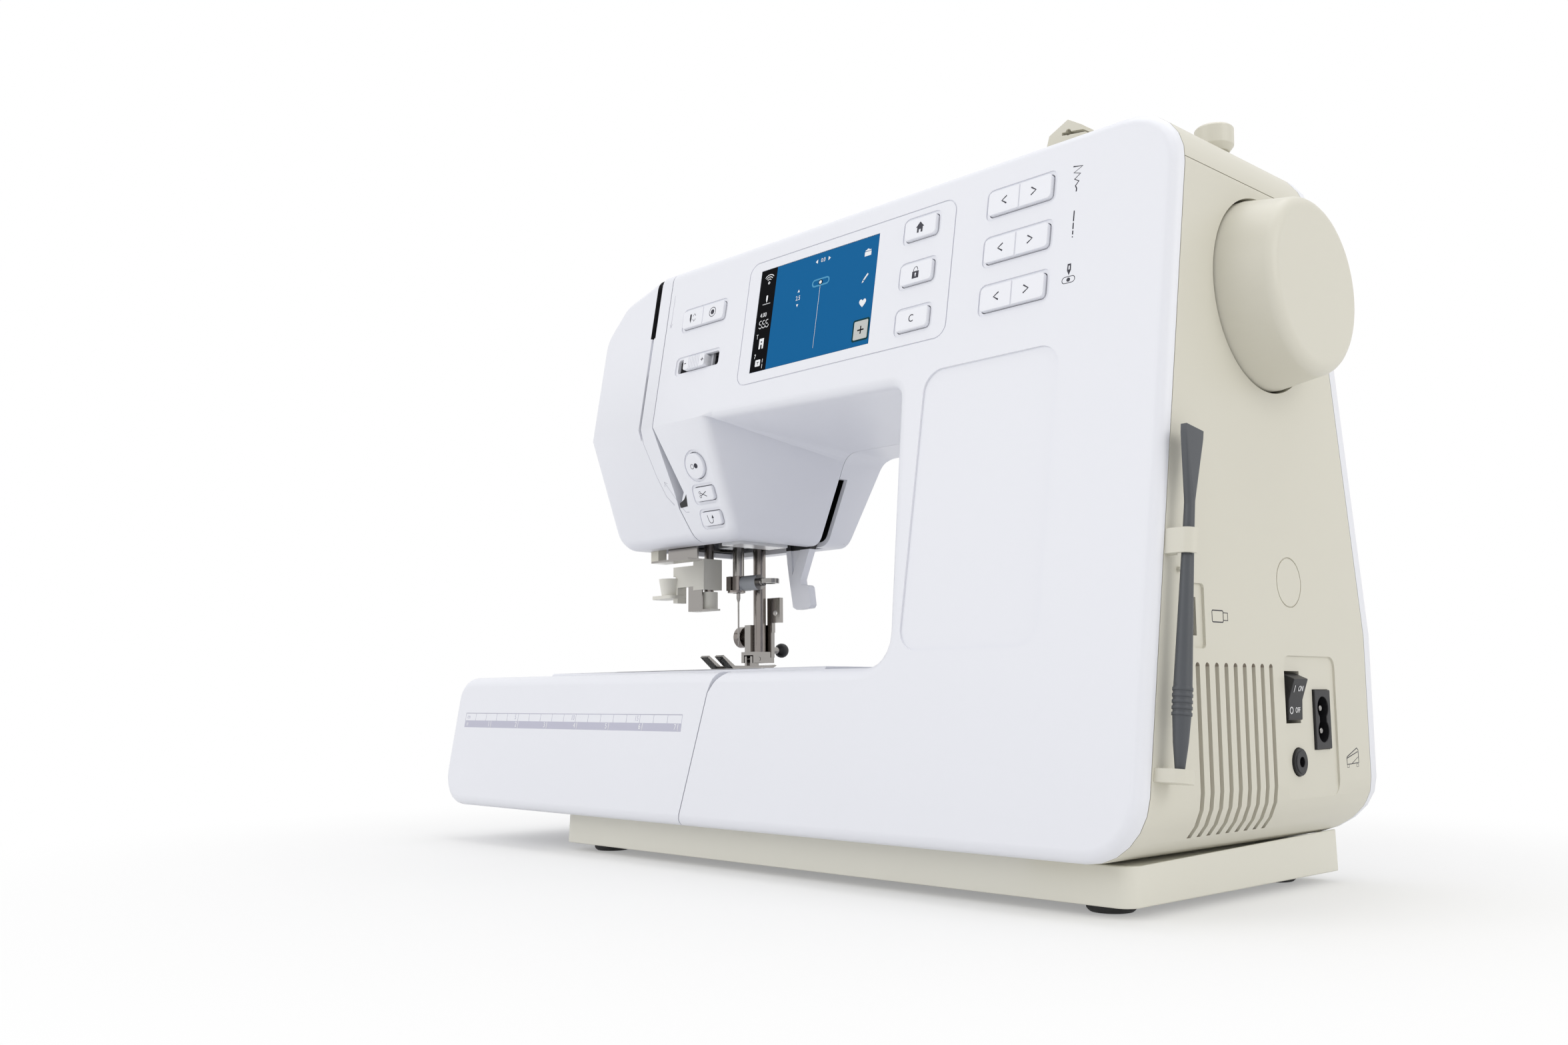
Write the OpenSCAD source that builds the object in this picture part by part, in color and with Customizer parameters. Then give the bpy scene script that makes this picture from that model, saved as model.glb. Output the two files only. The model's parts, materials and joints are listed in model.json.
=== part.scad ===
// Computer sewing machine with a free arm, a slide-on accessory box and a colour screen.
// X runs right along the bed, Y runs back, Z runs up. The feet stand on Z = 0.

/* [Casing] */
// Right face of the casing
side_x = 202; // [190:1:215]
// Seam between the accessory box and the base, at the bottom edge
split_x = -25; // [-35:1:-15]
// Left end of the accessory box
box_left = -223; // [-235:1:-215]
// Left end of the head
head_left = -136; // [-140:1:-132]
// Right wall of the head at the front
head_right = -44; // [-48:1:-40]
// Height of the top face
body_h = 284; // [278:1:292]
// Underside of the head
head_z = 147.5; // [144:0.5:151]
// Crease across the front of the head
crease_z = 203.5; // [200:0.5:207]
// Height of the bed at its front edge
bed_z = 83.5; // [82:0.5:84.5]
// Lower edge of the casing
casing_z = 18; // [17.6:0.1:20]
// Left wall of the column, at the arm
column_x = 78; // [74:1:84]
// Left wall of the column, at the bed
column_foot_x = 86.5; // [84:0.5:92]
// Foremost line of the front face, at the lower edge of the casing
front_y = -85.7; // [-90:0.1:-82]
// Rear face at the base
rear_y = 85.3; // [82:0.1:90]
// Backward lean of the front face
face_lean = 9.65; // [8:0.05:11]
// Inward lean of the head below the crease
chin_lean = 19.8; // [17:0.1:22]
// Lean of the rear face above the base
rear_lean = 9.6; // [7:0.1:11]
// Wall thickness of the mouldings
wall = 2.4; // [2:0.1:2.8]
// Gap at the seams between mouldings
seam = 0.35; // [0.3:0.05:0.5]
// Radius of the large corners
corner_r = 24; // [20:1:28]
// Radius of the front and rear edges
edge_r = 5; // [3:0.5:6]
// Depth of the white mouldings round the top and the side
wrap = 4.6; // [4:0.1:6]
// Plane where the front and rear mouldings meet under the arm
parting_y = 21; // [20.5:0.5:21.5]

/* [Base] */
// Length of the plinth to the left of the seam
plinth_reach = 103; // [90:1:110]
// Top of the plinth
plinth_z = 17.2; // [16.8:0.1:17.4]
// Height of the rubber feet below the plinth
foot_h = 3.6; // [3:0.1:4.5]
// Diameter of the rubber feet
foot_d = 17; // [14:1:20]

/* [Free arm] */
// Left end of the free arm
arm_left = -205; // [-210:1:-200]
// Front wall of the free arm
arm_front = -28; // [-30:1:-26]
// Rear wall of the free arm
arm_rear = 42; // [40:1:46]
// Underside of the free arm
arm_z = 46; // [44:1:50]
// Working surface of the needle plate
plate_z = 86; // [85:0.1:87]

/* [Sewing head] */
// Needle position, left to right
needle_x = -96; // [-97:0.5:-95]
// Needle position, front to back, which is also the axis of the main shaft
needle_y = 13; // [12:0.5:14]
// Height of the main shaft
shaft_z = 221; // [218:1:224]
// Height of the needle point at its upper stop
point_z = 98; // [97:0.5:100]
// Diameter of the needle bar
needle_bar_d = 6; // [5.6:0.1:6.4]
// Diameter of the presser bar
presser_bar_d = 6.6; // [6.2:0.1:7]
// Distance of the presser bar behind the needle
presser_offset = 13; // [12:0.5:14]
// Throw of the needle bar crank
crank_r = 15; // [14:0.5:16]
// Diameter of the main shaft
shaft_d = 12; // [10:0.5:13]

/* [Handwheel] */
// Diameter of the handwheel
wheel_d = 72; // [66:1:76]
// Distance that the handwheel stands out
wheel_out = 21; // [18:1:24]

/* [Controls] */
// Width of the screen window
screen_w = 74; // [70:1:78]
// Height of the screen window, along the face
screen_h = 50; // [46:1:52]
// Width of a single key
key_w = 17; // [15:0.5:18]
// Width of a paired key
pair_w = 30; // [27:0.5:31]
// Height of the keys
key_h = 9; // [8:0.5:9.5]
// Diameter of the start and stop key
start_d = 12.6; // [11:0.2:13.4]
// Gap round each key
key_gap = 0.4; // [0.3:0.05:0.6]

/* [Hidden] */
$fn = 40;

white = [0.90, 0.905, 0.93];
cream = [0.83, 0.815, 0.765];
steel = [0.70, 0.70, 0.72];
dark = [0.12, 0.12, 0.13];
e = 0.01;

// Knee of the rear face, where the base ends and the lean starts
knee_z = bed_z + 12;
bed_fillet = 12;
// Depth of the front and rear faces at a height
function face_y(z) = front_y + tan(face_lean) * (z - casing_z);
function chin_y(z) = face_y(crease_z) + tan(chin_lean) * (crease_z - z);
function back_y(z) = rear_y - tan(rear_lean) * max(0, z - knee_z);

// ---------- outlines ----------
function turn_left(v) = [-v[1], v[0]];
function unit(v) = v / norm(v);
// Shifts a corner so that its two edges move inwards by the distances a and b
function shifted(p, c, n, a, b) =
    let (u = turn_left(unit([c[0] - p[0], c[1] - p[1]])), v = turn_left(unit([n[0] - c[0], n[1] - c[1]])),
        det = u[0] * v[1] - u[1] * v[0])
    abs(det) < 0.001 ? [c[0] + u[0] * a, c[1] + u[1] * a]
        : [c[0] + (a * v[1] - b * u[1]) / det, c[1] + (b * u[0] - a * v[0]) / det];
// Rounds one corner with an arc of radius r
function rounded(p, c, n, r, steps) =
    let (a = unit(p - c), b = unit(n - c), half = acos(a * b) / 2, mid = c + unit(a + b) * r / sin(half),
        from = c + a * r / tan(half) - mid, start = atan2(from[1], from[0]),
        side = a[0] * b[1] - a[1] * b[0] < 0 ? 1 : -1, sweep = side * (180 - 2 * half))
    [for (i = [0:steps]) mid + r * [cos(start + sweep * i / steps), sin(start + sweep * i / steps)]];
// Turns corners [x, z, radius, moves, steps] into points. The fourth value says whether the edge that
// starts there moves inwards by d. The corners run anticlockwise as seen from the front.
function outline(c, d = 0, steps = 6) =
    let (n = len(c), q = [for (i = [0:n - 1]) let (p = c[(i + n - 1) % n], k = c[i], m = c[(i + 1) % n])
            shifted(p, k, m, d * p[3], d * k[3])],
        bend = [for (i = [0:n - 1]) let (p = c[(i + n - 1) % n], k = c[i], m = c[(i + 1) % n])
            (k[0] - p[0]) * (m[1] - k[1]) - (k[1] - p[1]) * (m[0] - k[0]) > 0 ? -1 : 1])
    [for (i = [0:n - 1]) for (point = c[i][2] == 0 ? [q[i]]
        : rounded(q[(i + n - 1) % n], q[i], q[(i + 1) % n], max(0.3, c[i][2] + bend[i] * d),
            is_undef(c[i][4]) ? steps : c[i][4])) point];
// The same corners with every edge marked as moving
function moving(c) = [for (k = c) [k[0], k[1], k[2], 1, k[4]]];

// Joins rings of [x, y, z] points into one closed solid. Each end is one face, or the fans of corners
// that caps lists, each with its hub first.
function span(a, b) = [for (i = [a:b]) i];
module skin(rings, caps = []) {
    m = len(rings[0]);
    last = (len(rings) - 1) * m;
    fans = len(caps) == 0 ? [span(0, m - 1)] : caps;
    sides = [for (k = [0:m:last - m]) for (i = [0:m - 1]) let (a = k + i, b = k + (i + 1) % m)
        for (t = [[a, b, b + m], [a, b + m, a + m]]) t];
    polyhedron(points = [for (r = rings) for (p = r) p],
        faces = concat([for (f = fans) concat([f[0]], [for (i = [len(f) - 1:-1:1]) f[i]])], sides,
            [for (f = fans) [for (i = f) last + i]]));
}
// Extrudes an outline in X and Z along Y
module along_y(y0, y1) {
    translate([0, y1, 0]) rotate([90, 0, 0]) linear_extrude(y1 - y0) children();
}
// Extrudes an outline in Y and Z along X
module along_x(x0, x1) {
    translate([x0, 0, 0]) rotate([90, 0, 90]) linear_extrude(x1 - x0) children();
}
module rod_x(x0, x1, y, z, r) {
    translate([x0, y, z]) rotate([0, 90, 0]) cylinder(r = r, h = x1 - x0);
}
module rod_y(y0, y1, x, z, r) {
    translate([x, y1, z]) rotate([90, 0, 0]) cylinder(r = r, h = y1 - y0);
}
module rod_z(z0, z1, x, y, r) {
    translate([x, y, z0]) cylinder(r = r, h = z1 - z0);
}
module block(lo, hi) {
    translate(lo) cube(hi - lo);
}
// Rectangle with round corners, centred on the origin
module round_rect(w, h, radius) {
    r = min(radius, w / 2 - e, h / 2 - e);
    square([w - 2 * r, h], center = true);
    square([w, h - 2 * r], center = true);
    for (x = [-1, 1]) for (y = [-1, 1]) translate([x * (w / 2 - r), y * (h / 2 - r)]) circle(r);
}
// Frame on the front face: local X right, Y up along the face, Z out of it
module on_face(x, z) {
    translate([x, face_y(z), z]) rotate([90 - face_lean, 0, 0]) children();
}
module on_chin(x, z) {
    translate([x, chin_y(z), z]) rotate([90 + chin_lean, 0, 0]) children();
}
// Frame on the right face: local X back, Y up, Z out
module on_side(y, z) {
    translate([side_x, y, z]) rotate([90, 0, 90]) children();
}

// ---------- casing outlines ----------
groove_x = needle_x + 2.4;      // left thread channel, in line with the take-up lever
channel_x = groove_x + 10.2;    // right thread channel
chin_x = channel_x + 9.9;       // right thread channel where it ends on the chin
guard_z = 171.5;                // lower end of the right channel
arm_under = 196.5;              // underside of the arm at the column, at the front
arm_under_back = 191.5;         // underside of the arm behind the parting plane
wall_lean_x = 20;               // how far the head's wall leans out at the parting plane
split_top_x = split_x + 9;      // the box seam leans with the end of the box
tip_x = head_left + 43;         // where the top starts to fall away to the left

// Front moulding, from the crease at the thread channel down the chin and round to the top
front = [[channel_x + seam, crease_z, 0, 0], [chin_x + seam, guard_z, 0, 0],
    [chin_x - 6 + seam, guard_z - 7.5, 0, 0], [chin_x + seam, head_z, 0, 1], [head_right, head_z, 7, 1],
    [head_right, crease_z, 0, 1], [head_right + 4, crease_z - 2.3, 6, 1, 5], [column_x, arm_under, 5, 1], [column_foot_x, bed_z, bed_fillet, 1],
    [split_top_x + 7, bed_z, 6, 0], [split_top_x + seam, bed_z - 9, 0, 0], [split_x + seam, casing_z, 0, 1],
    [side_x, casing_z, corner_r - 2, 1], [side_x, body_h, corner_r, 1], [channel_x + seam, body_h, 0, 0]];
// The same corners at the parting plane, where the wall of the head leans out
front_back = [for (i = [0:len(front) - 1]) if (i != 5) i == 6 ? [head_right + wall_lean_x, arm_under_back, 10, 1]
    : i == 7 ? [column_x + 1, arm_under_back, 5, 1] : front[i]];
// Cover of the left end of the head, from the crease at the channel round over the top
cheek = [[channel_x - seam, crease_z, 0, 0], [channel_x - seam, body_h, 0, 1], [tip_x, body_h, 14, 1],
    [head_left + 14, body_h - 9.5, 12, 1], [head_left, body_h - 26, 16, 1], [head_left, crease_z, 0, 1],
    [head_left, head_z, 10, 1], [chin_x - seam, head_z, 0, 0], [chin_x - 6 - seam, guard_z - 7.5, 0, 0],
    [chin_x - 6.6, guard_z + 1, 0, 0]];
// Point at the far end of the crease, and the fans that fill the ends: for the front the chin, the arm,
// the column and the bed, and for the cheek the part above the crease and the part below it
fold_front = 11;
front_caps = [concat([10, 11], span(0, 9)), concat([55, 0], span(11, 18), [54]),
    concat([54], span(18, 25), span(48, 53)), concat([47, 48], span(25, 46))];
fold_cheek = 23;
cheek_caps = [span(0, 23), concat(span(23, 33), [0])];

// The face above the crease and the chin below it
function skin_y(p) = p[0] < head_right + 0.5 && p[1] > bed_z + 1 ? max(face_y(p[1]), chin_y(p[1])) : face_y(p[1]);
// Lays points on the face, h behind it. Point 0 and point fold stay on the crease.
function lay(points, h, fold) = [for (i = [0:len(points) - 1]) let (p = points[i],
    q = fold > 0 && (i == 0 || i == fold) ? [p[0], crease_z] : p) [q[0], skin_y(q) + h, q[1]]];
function stand(points, y) = [for (p = points) [p[0], y, p[1]]];
// Rings of a solid whose front edge is rounded and whose sides run back to y1
function front_rings(near, far, y1, fold = 0) = concat(
    [for (i = [0:4]) let (a = i * 22.5) lay(outline(near, edge_r * (1 - sin(a))), edge_r * (1 - cos(a)), fold)],
    [stand(outline(far), y1)]);
// Rings of a cup with the same outside and an even wall
function cup_rings(near, far, y1, fold) = concat(front_rings(near, far, y1, fold),
    [stand(outline(moving(far), wall), y1), lay(outline(moving(near), wall), wall, fold)]);

module key_hole(w, h) {
    translate([0, 0, -wall - 4]) linear_extrude(wall + 6) round_rect(w + 2 * key_gap, h + 2 * key_gap, 2);
    translate([0, 0, -0.5]) linear_extrude(2) round_rect(w + 3.4, h + 3.4, 3);
}

frame_x0 = -24;
frame_x1 = 101;
frame_z0 = 213.6;
frame_z1 = 273.5;
screen_x = 21.5;
screen_z = 243.7;
key_rows = [264.4, 244.5, 224.4];
single_x = 82.8;
pair_x = 133.4;
needle_key_at = [-54.3, 255];
slider_at = [-55, 231.7];
slider_w = 30;
start_at = [-59.4, 182.3];
cut_at = [-58.2, 169.2];
reverse_at = [-57.4, 157.6];
small_w = 14;
small_h = 6.8;

module front_casing() color(white) difference() {
    union() {
        difference() {
            skin(cup_rings(front, front_back, parting_y - seam, fold_front), front_caps);
            // the cream covers take over behind the wrap
            cover_zone(behind = true);
            arm_socket();
            // opening for the bars under the head
            block([head_left, -24, head_z - 1], [head_right - 9, parting_y + 1, head_z + wall + 1]);
            crank_window();
        }
        // frame that carries the screen
        on_face(screen_x, screen_z) translate([0, 0, -5]) linear_extrude(5.1 - wall) difference() {
            round_rect(screen_w + 8, screen_h + 8, 3);
            round_rect(screen_w - 4, screen_h - 4, 1);
        }
    }
    // screen window
    on_face(screen_x, screen_z) translate([0, 0, -1.2]) linear_extrude(3)
        square([screen_w + 0.4, screen_h + 0.4], center = true);
    on_face(screen_x, screen_z) translate([0, 0, -6]) linear_extrude(8) square([screen_w - 6, screen_h - 6], center = true);
    // fine groove round the screen and the single keys
    on_face((frame_x0 + frame_x1) / 2, (frame_z0 + frame_z1) / 2) translate([0, 0, -0.5]) linear_extrude(2) difference() {
        round_rect(frame_x1 - frame_x0, (frame_z1 - frame_z0) / cos(face_lean), 6);
        round_rect(frame_x1 - frame_x0 - 1.1, (frame_z1 - frame_z0) / cos(face_lean) - 1.1, 5.5);
    }
    for (z = key_rows) {
        on_face(single_x, z) key_hole(key_w, key_h);
        on_face(pair_x, z) key_hole(pair_w, key_h + 1);
    }
    on_face(needle_key_at[0], needle_key_at[1]) key_hole(pair_w, key_h);
    on_face(slider_at[0], slider_at[1]) {
        translate([0, 0, -wall - 4]) linear_extrude(wall + 6) round_rect(slider_w, 7, 1.5);
        translate([0, 0, -0.6]) linear_extrude(2) round_rect(slider_w + 3, 9.6, 2.5);
    }
    on_chin(start_at[0], start_at[1]) {
        translate([0, 0, -wall - 4]) cylinder(d = start_d + 2 * key_gap, h = wall + 6);
        translate([0, 0, -0.6]) cylinder(d = start_d + 3.4, h = 2);
    }
    on_chin(cut_at[0], cut_at[1]) key_hole(small_w, small_h);
    on_chin(reverse_at[0], reverse_at[1]) key_hole(small_w, small_h);
    // soft recess on the column
    recess();
}

recess_x0 = column_foot_x + edge_r + 0.8;
recess_x1 = 157;
module recess() {
    on_face((recess_x0 + recess_x1) / 2, (bed_z + crease_z) / 2 + 1.5) translate([0, 0, -0.8]) linear_extrude(3)
        round_rect(recess_x1 - recess_x0, (crease_z - bed_z - 9) / cos(face_lean), 9);
}

// Outline of the machine as seen from the side, behind the front wrap or up to the rear one
rear_r = 22;
function side_profile(d, floor = 1) = outline([[-200, casing_z, 0, floor], [rear_y, casing_z, rear_r, 1],
    [rear_y, knee_z, 12, 1], [back_y(body_h + 20), body_h + 20, 0, 0], [-200, body_h + 20, 0, 0]], d);
module behind_wrap(gap) {
    along_x(-300, 300) polygon([[face_y(0) + wrap + gap, 0], [200, 0], [200, body_h + 20],
        [face_y(body_h + 20) + wrap + gap, body_h + 20]]);
}
// Band of the casing that the cream covers fill, to the right of the seams
cover_x = 150;
module cover_outline(d) {
    polygon(outline([[cover_x - 30, casing_z + d, 0, 0], [side_x - d, casing_z + d, corner_r - 2 - d, 0],
        [side_x - d, body_h - d, corner_r - d, 0], [channel_x - 30, body_h - d, 0, 0]]));
}
module cover_zone(behind) {
    intersection() {
        along_y(-100, 120) difference() {
            polygon([[cover_x, casing_z - 2], [side_x + 2, casing_z - 2], [side_x + 2, body_h + 2],
                [channel_x - 2, body_h + 2], [channel_x - 2, body_h - 60], [cover_x, body_h - 60]]);
            cover_outline(wall + 0.8);
        }
        if (behind) behind_wrap(0);
        else along_x(-300, 300) polygon(side_profile(wrap, 0));
    }
}
// Space that the free arm takes inside the casing
module arm_socket() {
    block([split_x - 5, arm_front - seam, arm_z - seam], [split_top_x + 24 + seam, arm_rear + seam, plate_z + 5]);
}

// Outline of the whole body from behind the parting plane
body = [[split_x + seam, casing_z, 0, 1], [side_x, casing_z, corner_r - 2, 1], [side_x, knee_z, 0, 1],
    [side_x, body_h, corner_r, 1], [tip_x, body_h, 14, 1], [head_left + 14, body_h - 9.5, 12, 1],
    [head_left, body_h - 26, 16, 1], [head_left, head_z, 10, 1], [head_right, head_z, 8, 1],
    [head_right + wall_lean_x, arm_under_back, 10, 1], [column_x + 1, arm_under_back, 5, 1],
    [column_foot_x, bed_z, bed_fillet, 1], [split_x + 12, bed_z, 0, 1]];

// Tuck behind the head and the arm
module tuck(d) {
    along_x(head_left - 10, column_x - 4) polygon([[40 - d, head_z - 20], [41 - d, head_z], [48 - d, arm_under_back - 2],
        [back_y(214) - d * 0.7, 214 + d * 0.7], [120, 214 + d * 0.7], [120, head_z - 20]]);
}

module rear_shape(inset, y0) {
    difference() {
        intersection() {
            along_y(y0, 120) polygon(outline(body, inset));
            along_x(-300, 300) polygon(side_profile(inset));
        }
        tuck(inset);
    }
}

module rear_casing() color(white) difference() {
    rear_shape(0, parting_y);
    rear_shape(wall, parting_y - 1);
    cover_zone(behind = false);
    arm_socket();
    // opening for the bars under the head
    block([head_left + 12, parting_y - 1, head_z - 1], [head_right - 9, 33, head_z + wall + 1]);
    // slot for the presser lever
    block([head_right - 10, parting_y - 1, head_z - 1], [head_right + wall_lean_x, parting_y + 5.6, head_z + 32]);
    // openings for the feet of the frame
    for (x = frame_feet) block([x - 1, parting_y - 1, casing_z - 1], [x + 25, web_y + web_t + 1, casing_z + wall + 1]);
}

module face_cover() color(white) difference() {
    skin(cup_rings(cheek, cheek, parting_y - seam, fold_cheek), cheek_caps);
    // thread channel and the take-up slot
    groove_cutter();
    block([head_left + 12, -24, head_z - 1], [chin_x + 4, parting_y + 1, head_z + wall + 1]);
    crank_window();
}
// Opening in the walls beside the channel for the crank, the shaft and the pin of the take-up lever
module crank_window() {
    block([channel_x - 6, -14, shaft_z - 40], [channel_x + 8, parting_y + 1, shaft_z + 26]);
}
module groove_cutter() {
    hull() {
        block([groove_x - 0.9, face_y(crease_z) - 2, crease_z - 8], [groove_x + 0.9, face_y(crease_z) + 1.5, crease_z + 1]);
        block([groove_x - 0.9, face_y(body_h) - 3, body_h - 1], [groove_x + 0.9, face_y(body_h) + 1.6, body_h + 2]);
    }
    block([groove_x - 1.8, face_y(250) - 3, 251], [groove_x + 1.8, -20, body_h + 1]);
}

// Cream band between the front and rear mouldings
module band(x0, z0, z1) {
    intersection() {
        along_y(-90, 100) difference() {
            cover_outline(0);
            cover_outline(wall);
        }
        behind_wrap(seam);
        along_x(-300, 300) polygon(side_profile(wrap + seam, 0));
        block([x0, -100, z0], [side_x + 1, 100, z1]);
    }
}

cover_seam_z = body_h - corner_r + 2;
wheel_z = shaft_z;
vent_n = 9;
vent_pitch = 6.25;
module side_cover() color(cream) difference() {
    union() {
        band(cover_x + seam, casing_z - 1, cover_seam_z);
        // rim inside the handwheel opening
        rod_x(side_x - 8, side_x - wall + 0.2, needle_y, wheel_z, wheel_d / 2 + 4);
        // box behind the sockets
        block([side_x - 20, 16, 35], [side_x - wall + 0.2, 52, 86]);
    }
    rod_x(side_x - 30, side_x + 2, needle_y, wheel_z, wheel_d / 2 + 1);
    // ventilation slots that run round the lower edge
    difference() {
        for (i = [0:vent_n - 1]) translate([0, -45.5 + i * vent_pitch, 0]) {
            block([side_x - corner_r, -1.3, casing_z + 7], [side_x + 1, 1.3, 82]);
            rod_x(side_x - corner_r, side_x + 1, 0, 82, 1.3);
        }
        along_y(-60, 20) cover_outline(1.7);
    }
    // socket panel, sunk 0.8 mm
    on_side(34, 60.5) translate([0, 0, -0.8]) linear_extrude(2) round_rect(40, 52, 4);
    // openings for the switch, the inlet and the jack
    on_side(21, 71.4) translate([0, 0, -19]) linear_extrude(25) square([11.4, 19], center = true);
    on_side(42.6, 63) translate([0, 0, -19]) linear_extrude(25) square([12.6, 22.4], center = true);
    on_side(23.7, 47.8) translate([0, 0, -19]) cylinder(d = 10.6, h = 25);
    // data port behind its recess
    on_side(-43.5, 99) translate([0, 0, -1]) linear_extrude(3) round_rect(8, 22, 1.5);
    on_side(-46, 98.8) translate([0, 0, -10]) linear_extrude(12) square([5, 13], center = true);
    // ring mark of the access plug
    on_side(21, 113.5) translate([0, 0, -0.5]) difference() {
        cylinder(r = 9.4, h = 2);
        translate([0, 0, -1]) cylinder(r = 8.9, h = 4);
    }
}

// ---------- top ----------
tray_x0 = -70;
tray_x1 = 116;
hinge_y = 34.5;
hinge_z = body_h - 7;
spool_y = 23;
module top_cover() color(cream) {
    difference() {
        union() {
            band(channel_x + 1, cover_seam_z + seam, body_h + 1);
            // tray under the handle and the spool
            block([tray_x0 - 2, 3, body_h - 15], [tray_x1 + 2, 41, body_h - wall + 0.1]);
            // bosses of the winder
            rod_z(body_h - 12.5, body_h - wall + 0.1, 152, 18, 5.5);
            rod_z(body_h - 5, body_h - wall + 0.1, side_x - 20.3, 18, 5);
        }
        block([tray_x0, 5, body_h - 13], [tray_x1, 39, body_h + 1]);
        rod_z(body_h - 13, body_h + 1, 152, 18, 2.96);
        rod_z(body_h - 6, body_h + 1, side_x - 20.3, 18, 2.6);
        rod_z(body_h - 6, body_h + 1, 141, -22, 1.6);
    }
    // pins of the handle
    rod_x(tray_x0 - e, tray_x0 + 10, hinge_y, hinge_z, 1.44);
    rod_x(tray_x1 - 10, tray_x1 + e, hinge_y, hinge_z, 1.44);
}
module spool_pin() color(cream) {
    rod_x(-50, 24, spool_y, body_h - 1, 3);
    difference() {
        union() {
            block([-54, spool_y - 6, body_h - 13], [-49, spool_y + 6, body_h - 1]);
            rod_x(-54, -49, spool_y, body_h - 1, 6);
        }
        rod_x(-55, -53, spool_y, body_h - 1, 2);
    }
}
module spool_cap() color(cream) difference() {
    union() {
        rod_x(-2, 0.5, spool_y, body_h - 1, 7.4);
        rod_x(0.5, 14, spool_y, body_h - 1, 5.2);
    }
    rod_x(-3, 15, spool_y, body_h - 1, 3.08);
}
module winder_stop() color([0.90, 0.88, 0.83]) {
    rod_z(body_h - 4, body_h + 2.2, side_x - 20.3, 18, 2.5);
    translate([side_x - 20.3, 18, body_h + 0.1]) rotate_extrude() polygon([[0, 0], [5.5, 0], [7.4, 2.5], [7.6, 9.4],
        [6.6, 10.4], [0, 10.4]]);
}
module winder_spindle() color([0.90, 0.88, 0.83]) {
    rod_z(body_h - 12, body_h + 8.5, 152, 18, 2.9);
    rod_z(body_h + 0.3, body_h + 1.8, 152, 18, 7);
    difference() {
        rod_z(body_h + 1.8, body_h + 7, 152, 18, 3.9);
        for (a = [0, 60, 120]) translate([152, 18, body_h + 4]) rotate([0, 0, a]) cube([1, 9, 7], center = true);
    }
}
module pretension_guide() color([0.90, 0.88, 0.83]) difference() {
    union() {
        translate([0, -17.5, 0]) rotate([90, 0, 0]) linear_extrude(9) polygon([[132, body_h], [135, body_h + 9],
            [144, body_h + 13.2], [150, body_h + 9.5], [150, body_h + 8], [152, body_h + 6.5], [152, body_h]]);
        rod_z(body_h - 3.5, body_h + 2, 141, -22, 1.5);
    }
    translate([141, -28, body_h + 7.4]) rotate([0, 8, 0]) cube([12, 12, 1.1]);
    rod_y(-27, -17, 144, body_h + 8, 1.2);
}

module carry_handle() color(cream) difference() {
    union() {
        for (x = [tray_x0 + 1, tray_x1 - 11]) {
            rod_x(x, x + 10, hinge_y, hinge_z, 3.2);
            block([x, 9, hinge_z - 3.2], [x + 10, hinge_y, hinge_z + 3.2]);
        }
        block([tray_x0 + 1, 7, hinge_z - 3.2], [tray_x1 - 1, 14, hinge_z + 3.2]);
    }
    rod_x(tray_x0, tray_x1, hinge_y, hinge_z, 1.5);
    // finger groove under the grip
    block([0, 9, hinge_z - 4], [46, 12.5, hinge_z - 1]);
}

// ---------- base ----------
module base_plinth() color(cream) {
    difference() {
        skin([for (s = [[0, foot_h], [0.8, plinth_z]]) [for (p = [[split_x - plinth_reach, -72], [190, -72], [190, 74],
            [split_x - plinth_reach, 74]]) [p[0], p[1] - s[0] * sign(p[1]), s[1]]]]);
        block([split_x - plinth_reach + 3, -68, foot_h + 3], [187, 70, plinth_z - 2.4]);
    }
}
foot_at = [[-110, -56], [172, -56], [172, 56], [-110, 56]];
module feet() color(dark) for (p = foot_at) translate([p[0], p[1], 0]) rotate_extrude() polygon([[0, 0],
    [foot_d / 2 - 1.2, 0], [foot_d / 2, 1.2], [foot_d / 2, foot_h], [0, foot_h]]);

box_gap = 0.6;
box_t = 4;
box_outline = [[box_left, casing_z, 18, 1], [split_x - seam, casing_z, 0, 0], [split_top_x - seam, bed_z - 9, 0, 0],
    [split_top_x + 3, bed_z, 0, 1], [box_left, bed_z, 11, 1]];
module accessory_box() color(white) difference() {
    skin(concat(front_rings(box_outline, box_outline, 0), [for (i = [4:-1:0]) let (a = i * 22.5)
        stand(outline(box_outline, edge_r * (1 - sin(a))), rear_y - edge_r * (1 - cos(a)))]));
    // rear lower edge, rounded like the base
    along_x(box_left - 1, split_x + 1) difference() {
        translate([rear_y - rear_r, casing_z - 1]) square(rear_r + 1);
        translate([rear_y - rear_r, casing_z + rear_r]) circle(rear_r);
    }
    // channel for the free arm
    block([arm_left - box_gap, arm_front - box_gap, arm_z - box_gap], [split_top_x + 30, arm_rear + box_gap, bed_z + 5]);
    // inside, open towards the arm
    intersection() {
        along_y(-90, rear_y) polygon(outline([[box_left + box_t, casing_z + box_t, 14, 1], [split_x - 7, casing_z + box_t, 3, 1],
            [split_x - 7, bed_z - box_t, 3, 1], [box_left + box_t, bed_z - box_t, 8, 1]]));
        along_x(box_left, split_x) polygon([[-79.6, casing_z], [rear_y - 22, casing_z], [rear_y - box_t, casing_z + 22],
            [rear_y - box_t, bed_z], [-70, bed_z]]);
    }
}

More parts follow.
